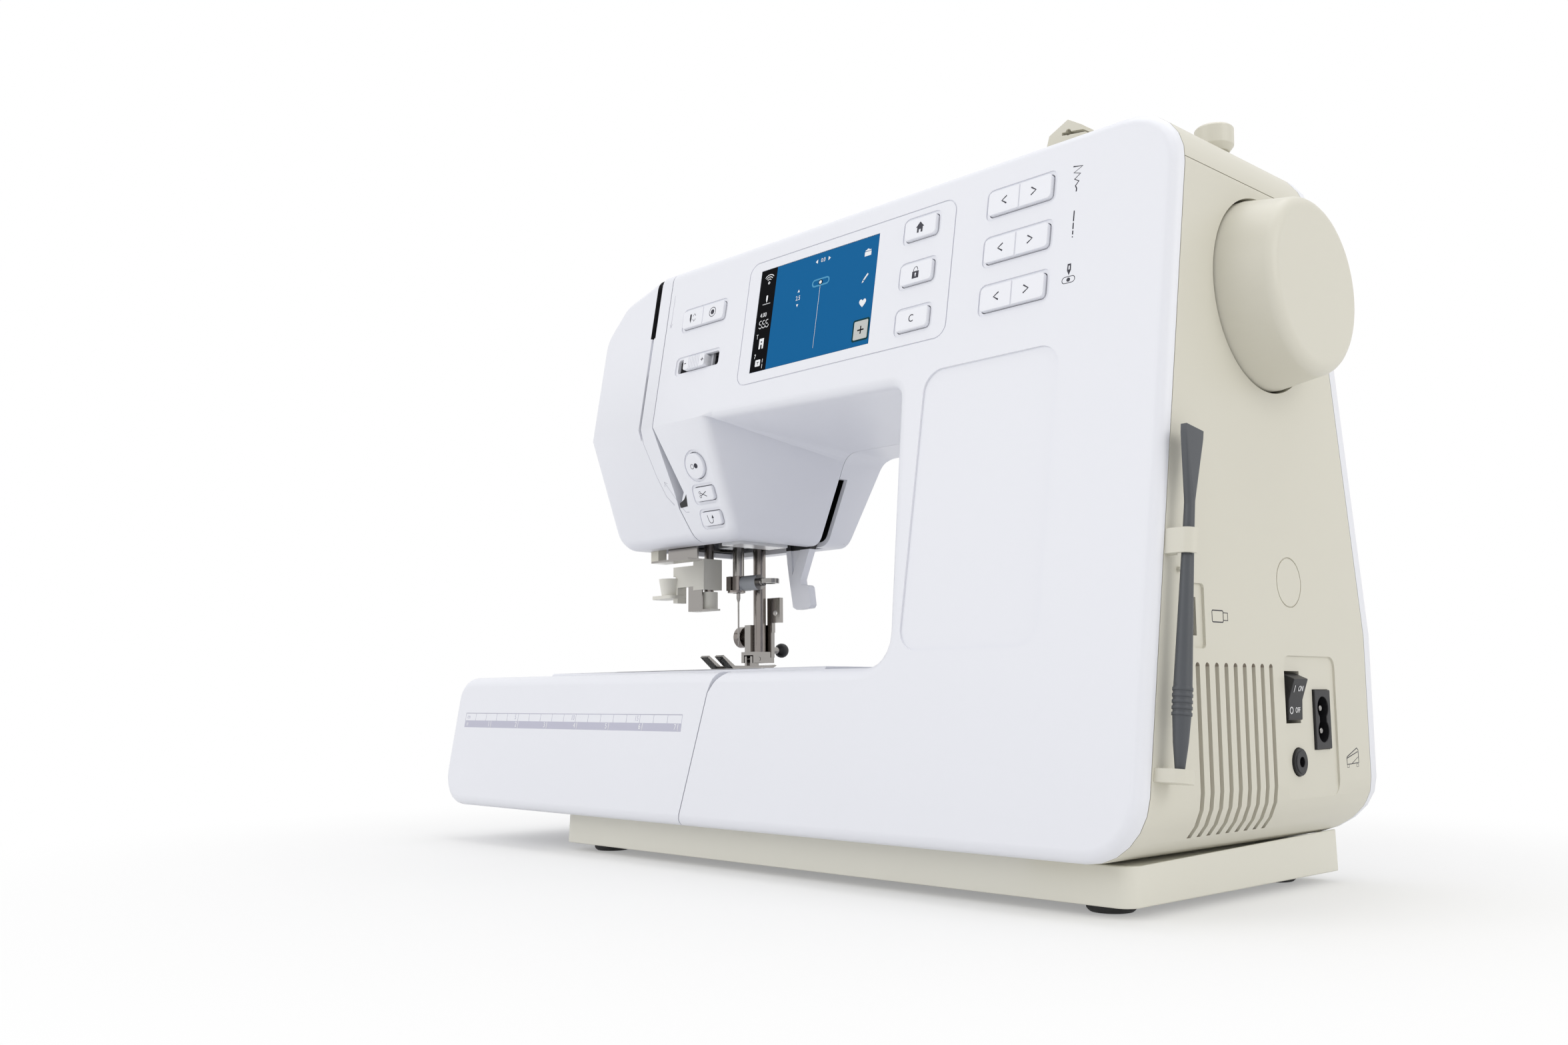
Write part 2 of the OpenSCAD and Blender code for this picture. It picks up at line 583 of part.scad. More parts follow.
// ---------- free arm and bed ----------
cover_w = 38;
cover_y0 = -25;
cover_y1 = 3;
hook_x = needle_x + 2;
hook_y = -5;
hook_r = 16.5;
plate_x0 = -148;
plate_x1 = -33;
module free_arm() color(white) difference() {
    union() {
        along_x(arm_left, split_top_x + 24) polygon(outline([[arm_front, arm_z, 6, 0], [arm_rear, arm_z, 6, 0],
            [arm_rear, plate_z, 1.5, 0], [arm_front, plate_z, 1.5, 0]]));
    }
    along_x(arm_left + wall, split_top_x + 30) polygon([[arm_front + wall, arm_z + wall], [arm_rear - wall, arm_z + wall],
        [arm_rear - wall, plate_z - wall - 0.6], [arm_front + wall, plate_z - wall - 0.6]]);
    // seat of the needle plate and the opening below it
    block([plate_x0 - 0.2, arm_front + 0.8, plate_z - 1.5], [plate_x1 + 0.2, arm_rear - 0.8, plate_z + 1]);
    block([plate_x0 + 6, arm_front + 4, plate_z - 6], [plate_x1 - 6, arm_rear - 4, plate_z]);
}
feed_slots = [-9.5, -6, 6, 9.5];
module needle_plate() color(steel) difference() {
    translate([(plate_x0 + plate_x1) / 2, (arm_front + arm_rear) / 2, plate_z - 1.5]) linear_extrude(1.6)
        round_rect(plate_x1 - plate_x0, arm_rear - arm_front - 2, 2);
    // opening over the bobbin
    block([hook_x - cover_w / 2, cover_y0, plate_z - 2], [hook_x + cover_w / 2, cover_y1, plate_z + 1]);
    // needle slot, rounded at its ends
    translate([needle_x, needle_y, plate_z - 2]) linear_extrude(3) round_rect(9, 1.8, 0.9);
    // feed slots
    for (x = feed_slots) translate([needle_x + x, needle_y + 4.2, plate_z - 2]) linear_extrude(3) round_rect(2.4, 25, 1);
    translate([needle_x, needle_y + 10.2, plate_z - 2]) linear_extrude(3) round_rect(2.4, 11, 1);
    // seats of the two plate screws
    for (x = [plate_x0 + 6, plate_x1 - 6]) translate([x, arm_rear - 9, plate_z - 0.9]) cylinder(d1 = 3.4, d2 = 6, h = 1.2);
}
module bobbin_cover() color([0.8, 0.85, 0.9, 0.5]) {
    block([hook_x - cover_w / 2 + 0.3, cover_y0 + 0.3, plate_z - 1.4], [hook_x + cover_w / 2 - 0.3, cover_y1 - 0.3, plate_z]);
    translate([hook_x + cover_w / 2 - 6, (cover_y0 + cover_y1) / 2, plate_z - 0.1]) linear_extrude(0.5) for (i = [0:2])
        translate([i * 1.8, 0]) square([0.8, 8], center = true);
}
module bobbin_case() color(dark) difference() {
    union() {
        rod_z(66, 79.3, hook_x, hook_y, 13.6);
        rod_z(77.6, 79.3, hook_x, hook_y, 15.6);
        // stop finger that holds the case against the plate
        block([hook_x - 3, hook_y - 19.5, 77.6], [hook_x + 3, hook_y - 12, 79.3]);
    }
    rod_z(67.4, 81, hook_x, hook_y, 11.4);
    rod_z(60, 81, hook_x, hook_y, 3);
}
module bobbin() color([0.85, 0.9, 0.95]) difference() {
    union() {
        rod_z(67.7, 68.7, hook_x, hook_y, 10.3);
        rod_z(68, 79, hook_x, hook_y, 4.2);
        rod_z(78, 78.9, hook_x, hook_y, 10.3);
    }
    rod_z(60, 81, hook_x, hook_y, 3.1);
    for (a = [0:60:300]) translate([hook_x, hook_y, 60]) rotate([0, 0, a]) translate([7.2, 0, 0]) cylinder(r = 1.4, h = 25);
}
module rotary_hook() color(steel) {
    difference() {
        union() {
            rod_z(63.5, 77, hook_x, hook_y, hook_r);
            rod_z(50.5, 64, hook_x, hook_y, 3);
        }
        rod_z(65.7, 81, hook_x, hook_y, 14.1);
        // window behind the hook point
        translate([hook_x, hook_y, 70]) rotate([0, 0, 20]) cube([12, 40, 5], center = false);
    }
    gear(hook_x, hook_y, 52, 59, gear_r, 12);
}
// Spur gear with straight-sided teeth, axis upright
module gear(x, y, z0, z1, r, teeth) {
    translate([x, y, z0]) linear_extrude(z1 - z0) difference() {
        union() {
            circle(r - 1);
            for (i = [0:teeth - 1]) rotate(360 / teeth * i) polygon([[r - 1.4, -0.75 * PI * r / teeth / 1.6],
                [r, -0.4 * PI * r / teeth / 1.6], [r, 0.4 * PI * r / teeth / 1.6], [r - 1.4, 0.75 * PI * r / teeth / 1.6]]);
        }
        circle(2.9);
    }
}
lower_z = 56;
gear_r = 7;
lower_y = hook_y + 2 * gear_r + 0.8;
module lower_shaft() color(steel) {
    rod_x(hook_x - 7, belt_x + 12, lower_y, lower_z, 3);
    // drive gear beside the hook gear
    translate([hook_x + 6, lower_y, lower_z]) rotate([0, -90, 0]) gear(0, 0, 0, 12, gear_r, 12);
    // pulley of the timing belt
    timing_pulley(belt_x, lower_y, lower_z, 7, 10);
}
// Toothed pulley with two flanges, axis along X
module timing_pulley(x, y, z, r, teeth) {
    translate([x, y, z]) rotate([0, 90, 0]) {
        linear_extrude(9) difference() {
            circle(r);
            for (i = [0:teeth - 1]) rotate(360 / teeth * i) translate([r, 0]) square([1.6, PI * r / teeth], center = true);
        }
        for (h = [-1.2, 9]) translate([0, 0, h]) cylinder(r = r + 1.6, h = 1.2);
    }
}
feed_y0 = 2;
module feed_bar() color(steel) difference() {
    block([needle_x - 14, needle_y - 2, 76.5], [needle_x + 46, needle_y + 16, 79.5]);
    // relief round the hook and the seat of the feed dog
    rod_z(70, 90, hook_x, hook_y, hook_r + 1);
    block([needle_x - 7.9, needle_y + 3.6, 70], [needle_x + 7.9, needle_y + 12.4, 90]);
    // room for the needle
    block([needle_x - 6, needle_y - 3, 70], [needle_x + 6, needle_y + 3.7, 90]);
}
module feed_dog() color([0.75, 0.75, 0.76]) {
    block([needle_x - 7.5, needle_y + 4, 77], [needle_x + 7.5, needle_y + 12, 80 + e]);
    difference() {
        block([needle_x - 10.4, needle_y - 8, 80], [needle_x + 10.4, needle_y + 12.5, 82]);
        block([needle_x - 4.9, needle_y - 4.4, 70], [needle_x + 4.9, needle_y + 2, 90]);
    }
    for (x = feed_slots) feed_comb(needle_x + x, needle_y - 7.5, 20);
    feed_comb(needle_x, needle_y + 6, 5.4);
}
// Row of saw teeth that point backwards
module feed_comb(x, y, len) {
    n = floor(len / 1.3);
    along_x(x - 0.7, x + 0.7) polygon(concat([[y, 81.5], [y + n * 1.3, 81.5]],
        [for (i = [n - 1:-1:0]) each [[y + (i + 1) * 1.3 - 0.1, 84.8 + 0.7], [y + i * 1.3, 84.8 - 0.2]]]));
}

// ---------- frame and drive ----------
web_y = 31;
web_t = 5;
main_bearings = [-74, 60, 152];
lower_bearings = [-70, 60];
presser_guides = [168, 241.5];
threader_guides = [160, 184];
frame_feet = [12, 122];
swing_z = 262;
pivot_y = -5.5;
pivot_z = 237.5;
module machine_frame() color([0.62, 0.63, 0.65]) difference() {
    union() {
        along_y(web_y, web_y + web_t) polygon(outline([[10, 24, 4, 0], [166, 24, 4, 0], [166, 262, 8, 0], [-60, 262, 4, 0],
            [-60, 250, 4, 0], [-118, 250, 4, 0], [-118, 152, 2, 0], [-107, 152, 2, 0], [-104, 160, 2, 0],
            [-76, 160, 4, 0], [-60, 206, 6, 0], [92, 206, 8, 0], [104, 76, 8, 0], [10, 76, 2, 0]]));
        // lower beam inside the free arm
        block([-195, web_y, 50], [14, web_y + web_t, 72]);
        // bearings of the main shaft
        for (x = main_bearings) main_bearing(x);
        // bearings of the lower shaft
        for (x = lower_bearings) block([x, lower_y - 7, lower_z - 7], [x + 8, web_y + e, lower_z + 7]);
        // bearing of the hook
        block([hook_x - 20, hook_y - 7, 59.5], [hook_x + 7, hook_y + 6, 63]);
        block([hook_x - 20, hook_y - 7, 59.5], [hook_x - 9, web_y + e, 63]);
        // guides of the presser bar
        for (z = presser_guides) block([presser_x - 8, presser_y - 5.5, z], [presser_x + 6, web_y + e, z + 8]);
        // guides of the threader rod
        for (z = threader_guides) {
            block([threader_x - 9, needle_y - 14, z], [threader_x + 5, needle_y - 5.4, z + 6]);
            block([threader_x - 9, needle_y - 14, z], [threader_x - 2, web_y + e, z + 6]);
        }
        // arm and pin of the take-up lever
        block([main_bearings[0], pivot_y - 4, shaft_z + 8], [main_bearings[0] + 8, web_y + e, pivot_z + 4.5]);
        rod_x(groove_x - 2, main_bearings[0] + e, pivot_y, pivot_z, 2.5);
        // pin of the swing frame
        rod_y(needle_y - 6, web_y + e, needle_x - 8.5, swing_z, 2.5);
        block([needle_x - 14, web_y, 246], [needle_x - 2, web_y + web_t, swing_z + 6]);
        // pin of the presser lever
        rod_y(lever_y - 1, web_y + e, lever_at[0], lever_at[1], 2.5);
        block([lever_at[0] - 6, web_y, lever_at[1] - 6], [lever_at[0] + 6, web_y + web_t, lever_at[1] + 50]);
        // shelf under the motor
        block([motor_x[0], motor_y - 12, 26], [motor_x[1], web_y + e, 30]);
        // feet of the frame on the plinth
        for (x = frame_feet) block([x, web_y - 6, plinth_z], [x + 24, web_y + web_t, 26]);
    }
    for (x = main_bearings) rod_x(x - 1, x + 11, needle_y, shaft_z, shaft_d / 2 + 0.06);
    for (x = lower_bearings) rod_x(x - 1, x + 9, lower_y, lower_z, 3.06);
    rod_z(59, 64, hook_x, hook_y, 3.06);
    for (z = presser_guides) rod_z(z - 1, z + 9, presser_x, presser_y, presser_bar_d / 2 + 0.06);
    for (z = threader_guides) rod_z(z - 1, z + 7, threader_x, needle_y - 9, threader_r + 0.06);
    // room for the crank and its rod
    block([needle_x + 4, web_y - 1, shaft_z - 38], [needle_x + 18, web_y + web_t + 1, shaft_z + 18]);
    // pocket for the collar of the presser bar
    block([presser_x - 8, web_y - 1, 150], [presser_x + 8, web_y + 2.5, 167]);
    // lightening holes in the web
    for (x = [-30, 20, 70]) rod_y(web_y - 1, web_y + web_t + 1, x, 234, 13);
    for (z = [70, 120, 170]) rod_y(web_y - 1, web_y + web_t + 1, 147, z, 16);
    rod_y(web_y - 1, web_y + web_t + 1, 30, 50, 14);
}
module main_bearing(x) {
    block([x, needle_y, shaft_z - 11], [x + 10, web_y + e, shaft_z + 11]);
    rod_x(x, x + 10, needle_y, shaft_z, 11);
}
belt_x = 100;
drive_x = 170;
motor_y = 8;
motor_z = 52;
motor_x = [118, 164];
module main_shaft() color(steel) {
    rod_x(needle_x + 12, side_x - 2, needle_y, shaft_z, shaft_d / 2);
    // crank disc with its counterweight and pin
    difference() {
        union() {
            rod_x(needle_x + 9.3, needle_x + 16, needle_y, shaft_z, 13);
            along_xr(needle_x + 9.3, needle_x + 16) polygon([[-9, 0], [9, 0], [5, crank_r + 4.5], [-5, crank_r + 4.5]]);
        }
        rod_x(needle_x + 15, needle_x + 17, needle_y, shaft_z - 9, 1.5);
    }
    rod_x(needle_x + 6.2, needle_x + 9.4, needle_y, shaft_z + crank_r, 2.5);
    timing_pulley(belt_x, needle_y, shaft_z, 14, 20);
    // pulley driven by the motor
    timing_pulley(drive_x, needle_y, shaft_z, 26, 36);
}
// Outline given about the main shaft, extruded along it
module along_xr(x0, x1) {
    translate([0, needle_y, shaft_z]) along_x(x0, x1) children();
}
rod_len = 26;
module crank_rod() color(steel) difference() {
    translate([0, 0, shaft_z + crank_r]) union() {
        rod_x(needle_x + 6.3, needle_x + 8.9, needle_y, 0, 5);
        rod_x(needle_x + 6.3, needle_x + 8.9, needle_y, -rod_len, 4);
        block([needle_x + 6.3, needle_y - 2.5, -rod_len], [needle_x + 8.9, needle_y + 2.5, 0]);
    }
    rod_x(needle_x + 5, needle_x + 10, needle_y, shaft_z + crank_r, 2.56);
    rod_x(needle_x + 5, needle_x + 10, needle_y, shaft_z + crank_r - rod_len, 1.8);
}
module handwheel() color(cream) {
    translate([side_x - 6, needle_y, wheel_z]) rotate([0, 90, 0]) {
        difference() {
            rotate_extrude($fn = 72) polygon(concat([[0, 5], [0, wheel_out + 6]], [for (a = [90:-15:0])
                [wheel_d / 2 - 2.6 - 5 + 5 * cos(a), wheel_out + 1 + 5 * sin(a)]],
                [[wheel_d / 2, 6], [wheel_d / 2, 0], [wheel_d / 2 - 3, 0], [wheel_d / 2 - 3, 5]]));
            translate([0, 0, -1]) cylinder(r = shaft_d / 2 + 0.02, h = 11);
        }
        difference() {
            cylinder(r = 11, h = 6);
            translate([0, 0, -1]) cylinder(r = shaft_d / 2 + 0.02, h = 9);
        }
    }
}
module main_motor() color([0.25, 0.26, 0.28]) {
    rod_x(motor_x[0], motor_x[1], motor_y, motor_z, 20);
    rod_x(motor_x[0] - 2, motor_x[0] + 1, motor_y, motor_z, 9);
    for (x = [motor_x[0] + 4, motor_x[1] - 10]) block([x, motor_y - 12, 30], [x + 6, motor_y + 12, 36]);
}
module motor_pulley() color(steel) {
    rod_x(motor_x[1] + 0.4, drive_x + 12, motor_y, motor_z, 3);
    timing_pulley(drive_x, motor_y, motor_z, 8, 12);
}
// Closed belt round two pulleys in one plane
module belt(x, ya, za, ra, yb, zb, rb, w) {
    d = norm([yb - ya, zb - za]);
    tilt = atan2(zb - za, yb - ya);
    lean = acos((ra - rb) / d);
    along_x(x, x + w) difference() {
        polygon(belt_line([ya, za], ra + 1.3, [yb, zb], rb + 1.3, tilt, lean));
        polygon(belt_line([ya, za], ra + 0.35, [yb, zb], rb + 0.35, tilt, lean));
    }
}
// Closed line of a belt round pulleys a and b
function belt_line(a, ra, b, rb, tilt, lean) = concat(
    [for (i = [0:20]) let (t = tilt + lean + (360 - 2 * lean) * i / 20) a + ra * [cos(t), sin(t)]],
    [for (i = [0:20]) let (t = tilt - lean + 2 * lean * i / 20) b + rb * [cos(t), sin(t)]]);
module timing_belts() color(dark) {
    belt(belt_x + 0.5, lower_y, lower_z, 7, needle_y, shaft_z, 14, 8);
    belt(drive_x + 0.5, motor_y, motor_z, 8, needle_y, shaft_z, 26, 8);
}
board_at = [18, 104];
module circuit_boards() color([0.1, 0.35, 0.2]) {
    on_face(screen_x, screen_z) translate([0, 0, -9.2]) linear_extrude(1.6) square([screen_w + 20, screen_h + 4], center = true);
    on_face(screen_x, screen_z) translate([0, 0, -7.6]) linear_extrude(2.6) square([screen_w - 2, screen_h - 2], center = true);
    block([board_at[0], 48, 30], [board_at[1], 49.6, 78]);
    for (x = [board_at[0] + 4, board_at[1] - 4]) for (z = [34, 70]) rod_y(web_y + web_t, 48 + e, x, z, 2.4);
    // metal shell of the data port
    on_side(-46, 98.8) translate([0, 0, -14]) linear_extrude(14 - wall) difference() {
        square([6.4, 14.4], center = true);
        square([4.6, 12.6], center = true);
    }
}

// ---------- sewing head ----------
bar_top = 252;
clamp_z0 = 127.4;
clamp_z1 = 134.8;
module swing_frame() color(steel) difference() {
    union() {
        block([needle_x - 10, needle_y - 5, 150], [needle_x - 7, needle_y + 5, 258]);
        for (z = [150, 245]) block([needle_x - 8, needle_y - 5, z], [needle_x + 4.5, needle_y + 5, z + 7]);
        rod_y(needle_y - 5, needle_y + 5, needle_x - 8.5, swing_z, 6);
    }
    for (z = [150, 245]) rod_z(z - 1, z + 8, needle_x, needle_y, needle_bar_d / 2 + 0.06);
    rod_y(needle_y - 6, needle_y + 6, needle_x - 8.5, swing_z, 2.56);
}
module needle_bar() color(steel) {
    difference() {
        rod_z(clamp_z0 + 1, bar_top, needle_x, needle_y, needle_bar_d / 2);
        rod_z(clamp_z0, clamp_z0 + 14, needle_x, needle_y, 1.05);
    }
    // collar and stud that the crank rod drives
    difference() {
        rod_z(shaft_z + crank_r - rod_len - 4, shaft_z + crank_r - rod_len + 4, needle_x, needle_y, 4.4);
        rod_z(190, 220, needle_x, needle_y, needle_bar_d / 2 - 0.1);
    }
    rod_x(needle_x + 3.5, needle_x + 4.9, needle_y, shaft_z + crank_r - rod_len, 1.7);
}
module needle_clamp() {
    color(steel) difference() {
        translate([needle_x, needle_y, clamp_z0]) linear_extrude(clamp_z1 - clamp_z0) round_rect(10, 9.4, 1.2);
        rod_z(clamp_z0 - 1, clamp_z1 + 1, needle_x, needle_y, needle_bar_d / 2);
        block([needle_x - 0.8, needle_y - 6, clamp_z0 - 1], [needle_x + 0.8, needle_y - 2, clamp_z1 + 1]);
    }
    // grip of the clamp screw and its wire loop
    color([0.62, 0.68, 0.74]) rod_x(needle_x + 5, needle_x + 16.5, needle_y, 131, 3.9);
    color(steel) rod_x(needle_x + 16.4, needle_x + 19.5, needle_y, 131, 2.1);
    color(steel) difference() {
        translate([needle_x + 24, needle_y, 129.8]) cylinder(r = 4.8, h = 2.4);
        translate([needle_x + 24, needle_y, 129]) cylinder(r = 2.9, h = 4);
    }
    // thread hook below the clamp
    color(steel) difference() {
        rod_z(clamp_z0 - 1.2, clamp_z0, needle_x, needle_y - 1.4, 4.6);
        rod_z(clamp_z0 - 2, clamp_z0 + 1, needle_x, needle_y, 3.1);
    }
}
module needle() color([0.8, 0.8, 0.82]) {
    rod_z(clamp_z0 - 4, clamp_z0 + 12, needle_x, needle_y, 1);
    translate([needle_x, needle_y, clamp_z0 - 6]) cylinder(r1 = 0.45, r2 = 1, h = 2);
    difference() {
        translate([needle_x, needle_y, point_z]) rotate_extrude() polygon([[0, 0], [0.25, 1.4], [0.45, 4.5],
            [0.45, clamp_z0 - 5.9 - point_z], [0, clamp_z0 - 5.9 - point_z]]);
        block([needle_x - 0.15, needle_y - 1, point_z + 3.6], [needle_x + 0.15, needle_y + 1, point_z + 5]);
    }
}
threader_x = needle_x - 13;
threader_r = 2.5;
module needle_threader() {
    color([0.83, 0.82, 0.76]) {
        difference() {
            union() {
                // arm that carries the thumb cup
                block([threader_x - 21, needle_y - 16, 130], [threader_x - 1.6, needle_y - 12.6, 141]);
                block([threader_x - 21, needle_y - 16, 122], [threader_x - 17.4, needle_y - 10, 141]);
                translate([threader_x - 24, needle_y - 15, 126]) cylinder(r1 = 5, r2 = 6.6, h = 9);
                translate([threader_x - 26, needle_y - 15, 124.4]) linear_extrude(1.8) round_rect(18, 11, 3);
                block([threader_x - 4.6, needle_y - 16, 128], [threader_x + 4, needle_y - 3.6, 144]);
            }
            translate([threader_x - 24, needle_y - 15, 129]) cylinder(r = 5, h = 7);
        }
    }
    // rod, its head and the hook plate
    color(steel) rod_z(118, 208, threader_x, needle_y - 9, threader_r);
    color([0.7, 0.7, 0.74]) rod_z(118, 127, threader_x, needle_y - 9, 4.6);
    color(steel) block([threader_x - 9, needle_y - 15.6, 117], [threader_x + 2, needle_y - 14.8, 130]);
    color(steel) block([threader_x - 9, needle_y - 15.6, 117], [threader_x + 9, needle_y - 9, 117.9]);
}
module take_up_lever() color(steel) difference() {
    along_x(groove_x - 0.9, groove_x + 0.9) difference() {
        union() {
            translate([pivot_y, pivot_z]) circle(6);
            translate([pivot_y, pivot_z]) polygon([[-4, -4.5], [3, 5.5], [-18, 25], [-25, 31], [-28, 27], [-21, 19.5]]);
        }
        translate([pivot_y - 24.8, pivot_z + 27.4]) circle(1.1);
    }
    rod_x(groove_x - 3, groove_x + 3, pivot_y, pivot_z, 2.56);
}
module led_lens() color([0.95, 0.95, 0.9]) difference() {
    union() {
        block([head_right - 23, -23.7, head_z - 1.4], [head_right - 9.3, 8, head_z + wall + 1.2]);
        block([head_right - 23, -23.7, head_z + wall], [head_right - 7, 8, head_z + wall + 1.2]);
    }
    block([head_right - 21, -22, head_z], [head_right - 11.2, 6, head_z + 5]);
}
module thread_guides() color(steel) {
    // bent guide plate in front of the needle bar
    block([needle_x - 14, -22.5, head_z - 6.5], [needle_x + 9, -21.5, head_z + 3]);
    block([needle_x - 17, -31, head_z - 7.3], [needle_x + 12, -21.5, head_z - 6.3]);
    // nub that guides the thread to the face cover
    color(cream) block([needle_x - 27, -23.4, head_z - 6], [needle_x - 21, -18, head_z + 3]);
    // bracket that ties both to the frame
    block([needle_x - 30, -22.5, head_z + 2.9], [needle_x + 9, -16, head_z + 4.2]);
    block([needle_x - 30, -17, head_z + 2.9], [needle_x - 25, web_y, head_z + 4.2]);
    block([needle_x - 30, web_y - 1.3, head_z + 2.9], [needle_x - 16, web_y, head_z + 12]);
}

// ---------- presser ----------
presser_x = needle_x + 2;
presser_y = needle_y + presser_offset;
shank_z = plate_z + 10;
module presser_bar() color([0.55, 0.52, 0.50]) {
    difference() {
        rod_z(shank_z, 256, presser_x, presser_y, presser_bar_d / 2);
        block([presser_x - 6, presser_y - 5, shank_z - 1], [presser_x - 2.1, presser_y + 5, shank_z + 36]);
    }
    // collar, arm and post that the lever lifts
    difference() {
        union() {
            rod_z(151, 158, presser_x, presser_y, 6.4);
            block([presser_x + 2, lever_y + 0.3, 151], [presser_x + 18, lever_y + 4.6, 156]);
            block([presser_x + 14, lever_y + 0.3, 151], [presser_x + 18, lever_y + 4.6, lever_at[1] + 11.4]);
            block([presser_x + 14, lever_y + 0.3, lever_at[1] + 6.4], [presser_x + 36, lever_y + 4.6, lever_at[1] + 11.4]);
        }
        rod_z(150, 159, presser_x, presser_y, presser_bar_d / 2 - 0.1);
    }
}
module foot_shank() color(steel) difference() {
    union() {
        // clamp on the bar
        block([presser_x - 6.6, presser_y - 4.6, shank_z - 1], [presser_x - 2.1, presser_y + 4.6, shank_z + 14]);
        // thumb screw
        rod_x(presser_x - 9.6, presser_x - 6.5, presser_y, shank_z + 8, 2.2);
        rod_x(presser_x - 14.5, presser_x - 9.5, presser_y, shank_z + 8, 5.6);
        // neck and its plate behind the bar
        block([presser_x - 6.6, presser_y + 3.6, shank_z - 3], [presser_x + 5, presser_y + 6, shank_z + 14]);
        block([presser_x + 2, presser_y + 3.6, shank_z + 10], [presser_x + 11.5, presser_y + 6, shank_z + 28]);
        // yoke that takes the foot
        block([presser_x - 6.6, presser_y - 7, ankle_z - 2], [presser_x + 4.6, presser_y + 6, shank_z - 0.1]);
        // release knob
        rod_y(presser_y + 5.9, presser_y + 14, presser_x - 1, plate_z + 11, 1.8);
        translate([presser_x - 1, presser_y + 16.6, plate_z + 11]) sphere(r = 3.8);
    }
    block([presser_x - 4.6, presser_y - 8, ankle_z - 3], [presser_x + 2.6, presser_y + 3, ankle_z + 2]);
    block([presser_x + 5.5, presser_y + 3, shank_z + 9], [presser_x + 13, presser_y + 7, shank_z + 15]);
    rod_y(presser_y + 3, presser_y + 7, presser_x + 8, shank_z + 20, 1.5);
    rod_x(presser_x - 8, presser_x + 6, presser_y - 4.6, ankle_z, 1.06);
}
foot_len = 38;
sole_z = plate_z + 0.9;
ankle_z = plate_z + 6.2;
toe_y = needle_y - 19;
module presser_foot() color([0.78, 0.78, 0.80]) {
    difference() {
        along_x(needle_x - 8.6, needle_x + 8.6) translate([toe_y, sole_z]) polygon([[0.4, 6], [8, 0], [foot_len - 4, 0],
            [foot_len, 2], [foot_len - 1.6, 2.4], [foot_len - 5, 1.6], [9, 1.6], [1.4, 6.8]]);
        // gap between the toes and the needle slot
        block([needle_x - 2.6, toe_y - 2, plate_z - 1], [needle_x + 2.6, needle_y - 3, plate_z + 12]);
        translate([needle_x, needle_y - 0.4, plate_z]) linear_extrude(6) round_rect(10.4, 4.4, 2);
    }
    // ears and pin that snap into the shank
    for (x = [-3.4, 0.9]) block([presser_x + x - 0.6, presser_y - 7, sole_z + 1.4], [presser_x + x + 1, presser_y - 2.4, ankle_z + 1.4]);
    rod_x(presser_x - 6.4, presser_x + 4.4, presser_y - 4.6, ankle_z, 1);
}
lever_y = parting_y + 0.5;
lever_at = [-66, 172];
module presser_lever() color([0.90, 0.90, 0.94]) difference() {
    union() {
        rod_y(lever_y, lever_y + 4.4, lever_at[0], lever_at[1], 6);
        along_y(lever_y, lever_y + 4.4) polygon([[-71.6, 172], [-68, 140], [-66.6, 131.5], [-64, 117.5], [-61.5, 116.3],
            [-52.5, 116.8], [-51.2, 118.2], [-52.6, 127.4], [-54, 128.4], [-57.6, 128.6], [-58.2, 131.4], [-50.5, 149],
            [-58, 168], [-60.4, 174]]);
        // nose that turns up under the arm of the presser bar
        along_y(lever_y, lever_y + 4.4) translate(lever_at) polygon([[0, -6], [11, 1.5], [10.3, 4], [0, 6]]);
    }
    rod_y(lever_y - 1, lever_y + 6, lever_at[0], lever_at[1], 2.56);
    // groove between the two ribs
    along_y(lever_y - 1, lever_y + 1.2) polygon([[-64.5, 134], [-56, 152], [-62.5, 160], [-65.5, 150]]);
}

// ---------- controls ----------
module screen_glass() {
    color([0.09, 0.40, 0.60]) on_face(screen_x, screen_z) translate([0, 0, -1.2]) linear_extrude(1.1)
        square([screen_w, screen_h], center = true);
}
// Cap of a key with a step that stops it behind the panel
module key_cap(w, h, proud) {
    linear_extrude(proud) round_rect(w, h, 1.7);
    translate([0, 0, -wall - 1]) linear_extrude(wall + 1) round_rect(w, h, 1.7);
    translate([0, 0, -wall - 2.6]) linear_extrude(1.6 + e) round_rect(w + 2, h + 2, 1.7);
}
module pair_cap(w, h, proud) {
    difference() {
        key_cap(w, h, proud);
        translate([0, 0, proud]) cube([0.5, h + 1, 1], center = true);
    }
}
module home_key() color(white) on_face(single_x, key_rows[0]) key_cap(key_w, key_h, 1.3);
module lock_key() color(white) on_face(single_x, key_rows[1]) key_cap(key_w, key_h, 1.3);
module clear_key() color(white) on_face(single_x, key_rows[2]) key_cap(key_w, key_h, 1.3);
module width_key() color(white) on_face(pair_x, key_rows[0]) pair_cap(pair_w, key_h + 1, 1.3);
module length_key() color(white) on_face(pair_x, key_rows[1]) pair_cap(pair_w, key_h + 1, 1.3);
module position_key() color(white) on_face(pair_x, key_rows[2]) pair_cap(pair_w, key_h + 1, 1.3);
module needle_key() color(white) on_face(needle_key_at[0], needle_key_at[1]) pair_cap(pair_w, key_h, 1.3);
module start_key() color(white) on_chin(start_at[0], start_at[1]) {
    translate([0, 0, -wall - 1]) cylinder(d = start_d, h = wall + 2.1);
    translate([0, 0, -wall - 2.6]) cylinder(d = start_d + 2, h = 1.6 + e);
}
module cut_key() color(white) on_chin(cut_at[0], cut_at[1]) key_cap(small_w, small_h, 1.2);
module reverse_key() color(white) on_chin(reverse_at[0], reverse_at[1]) key_cap(small_w, small_h, 1.2);
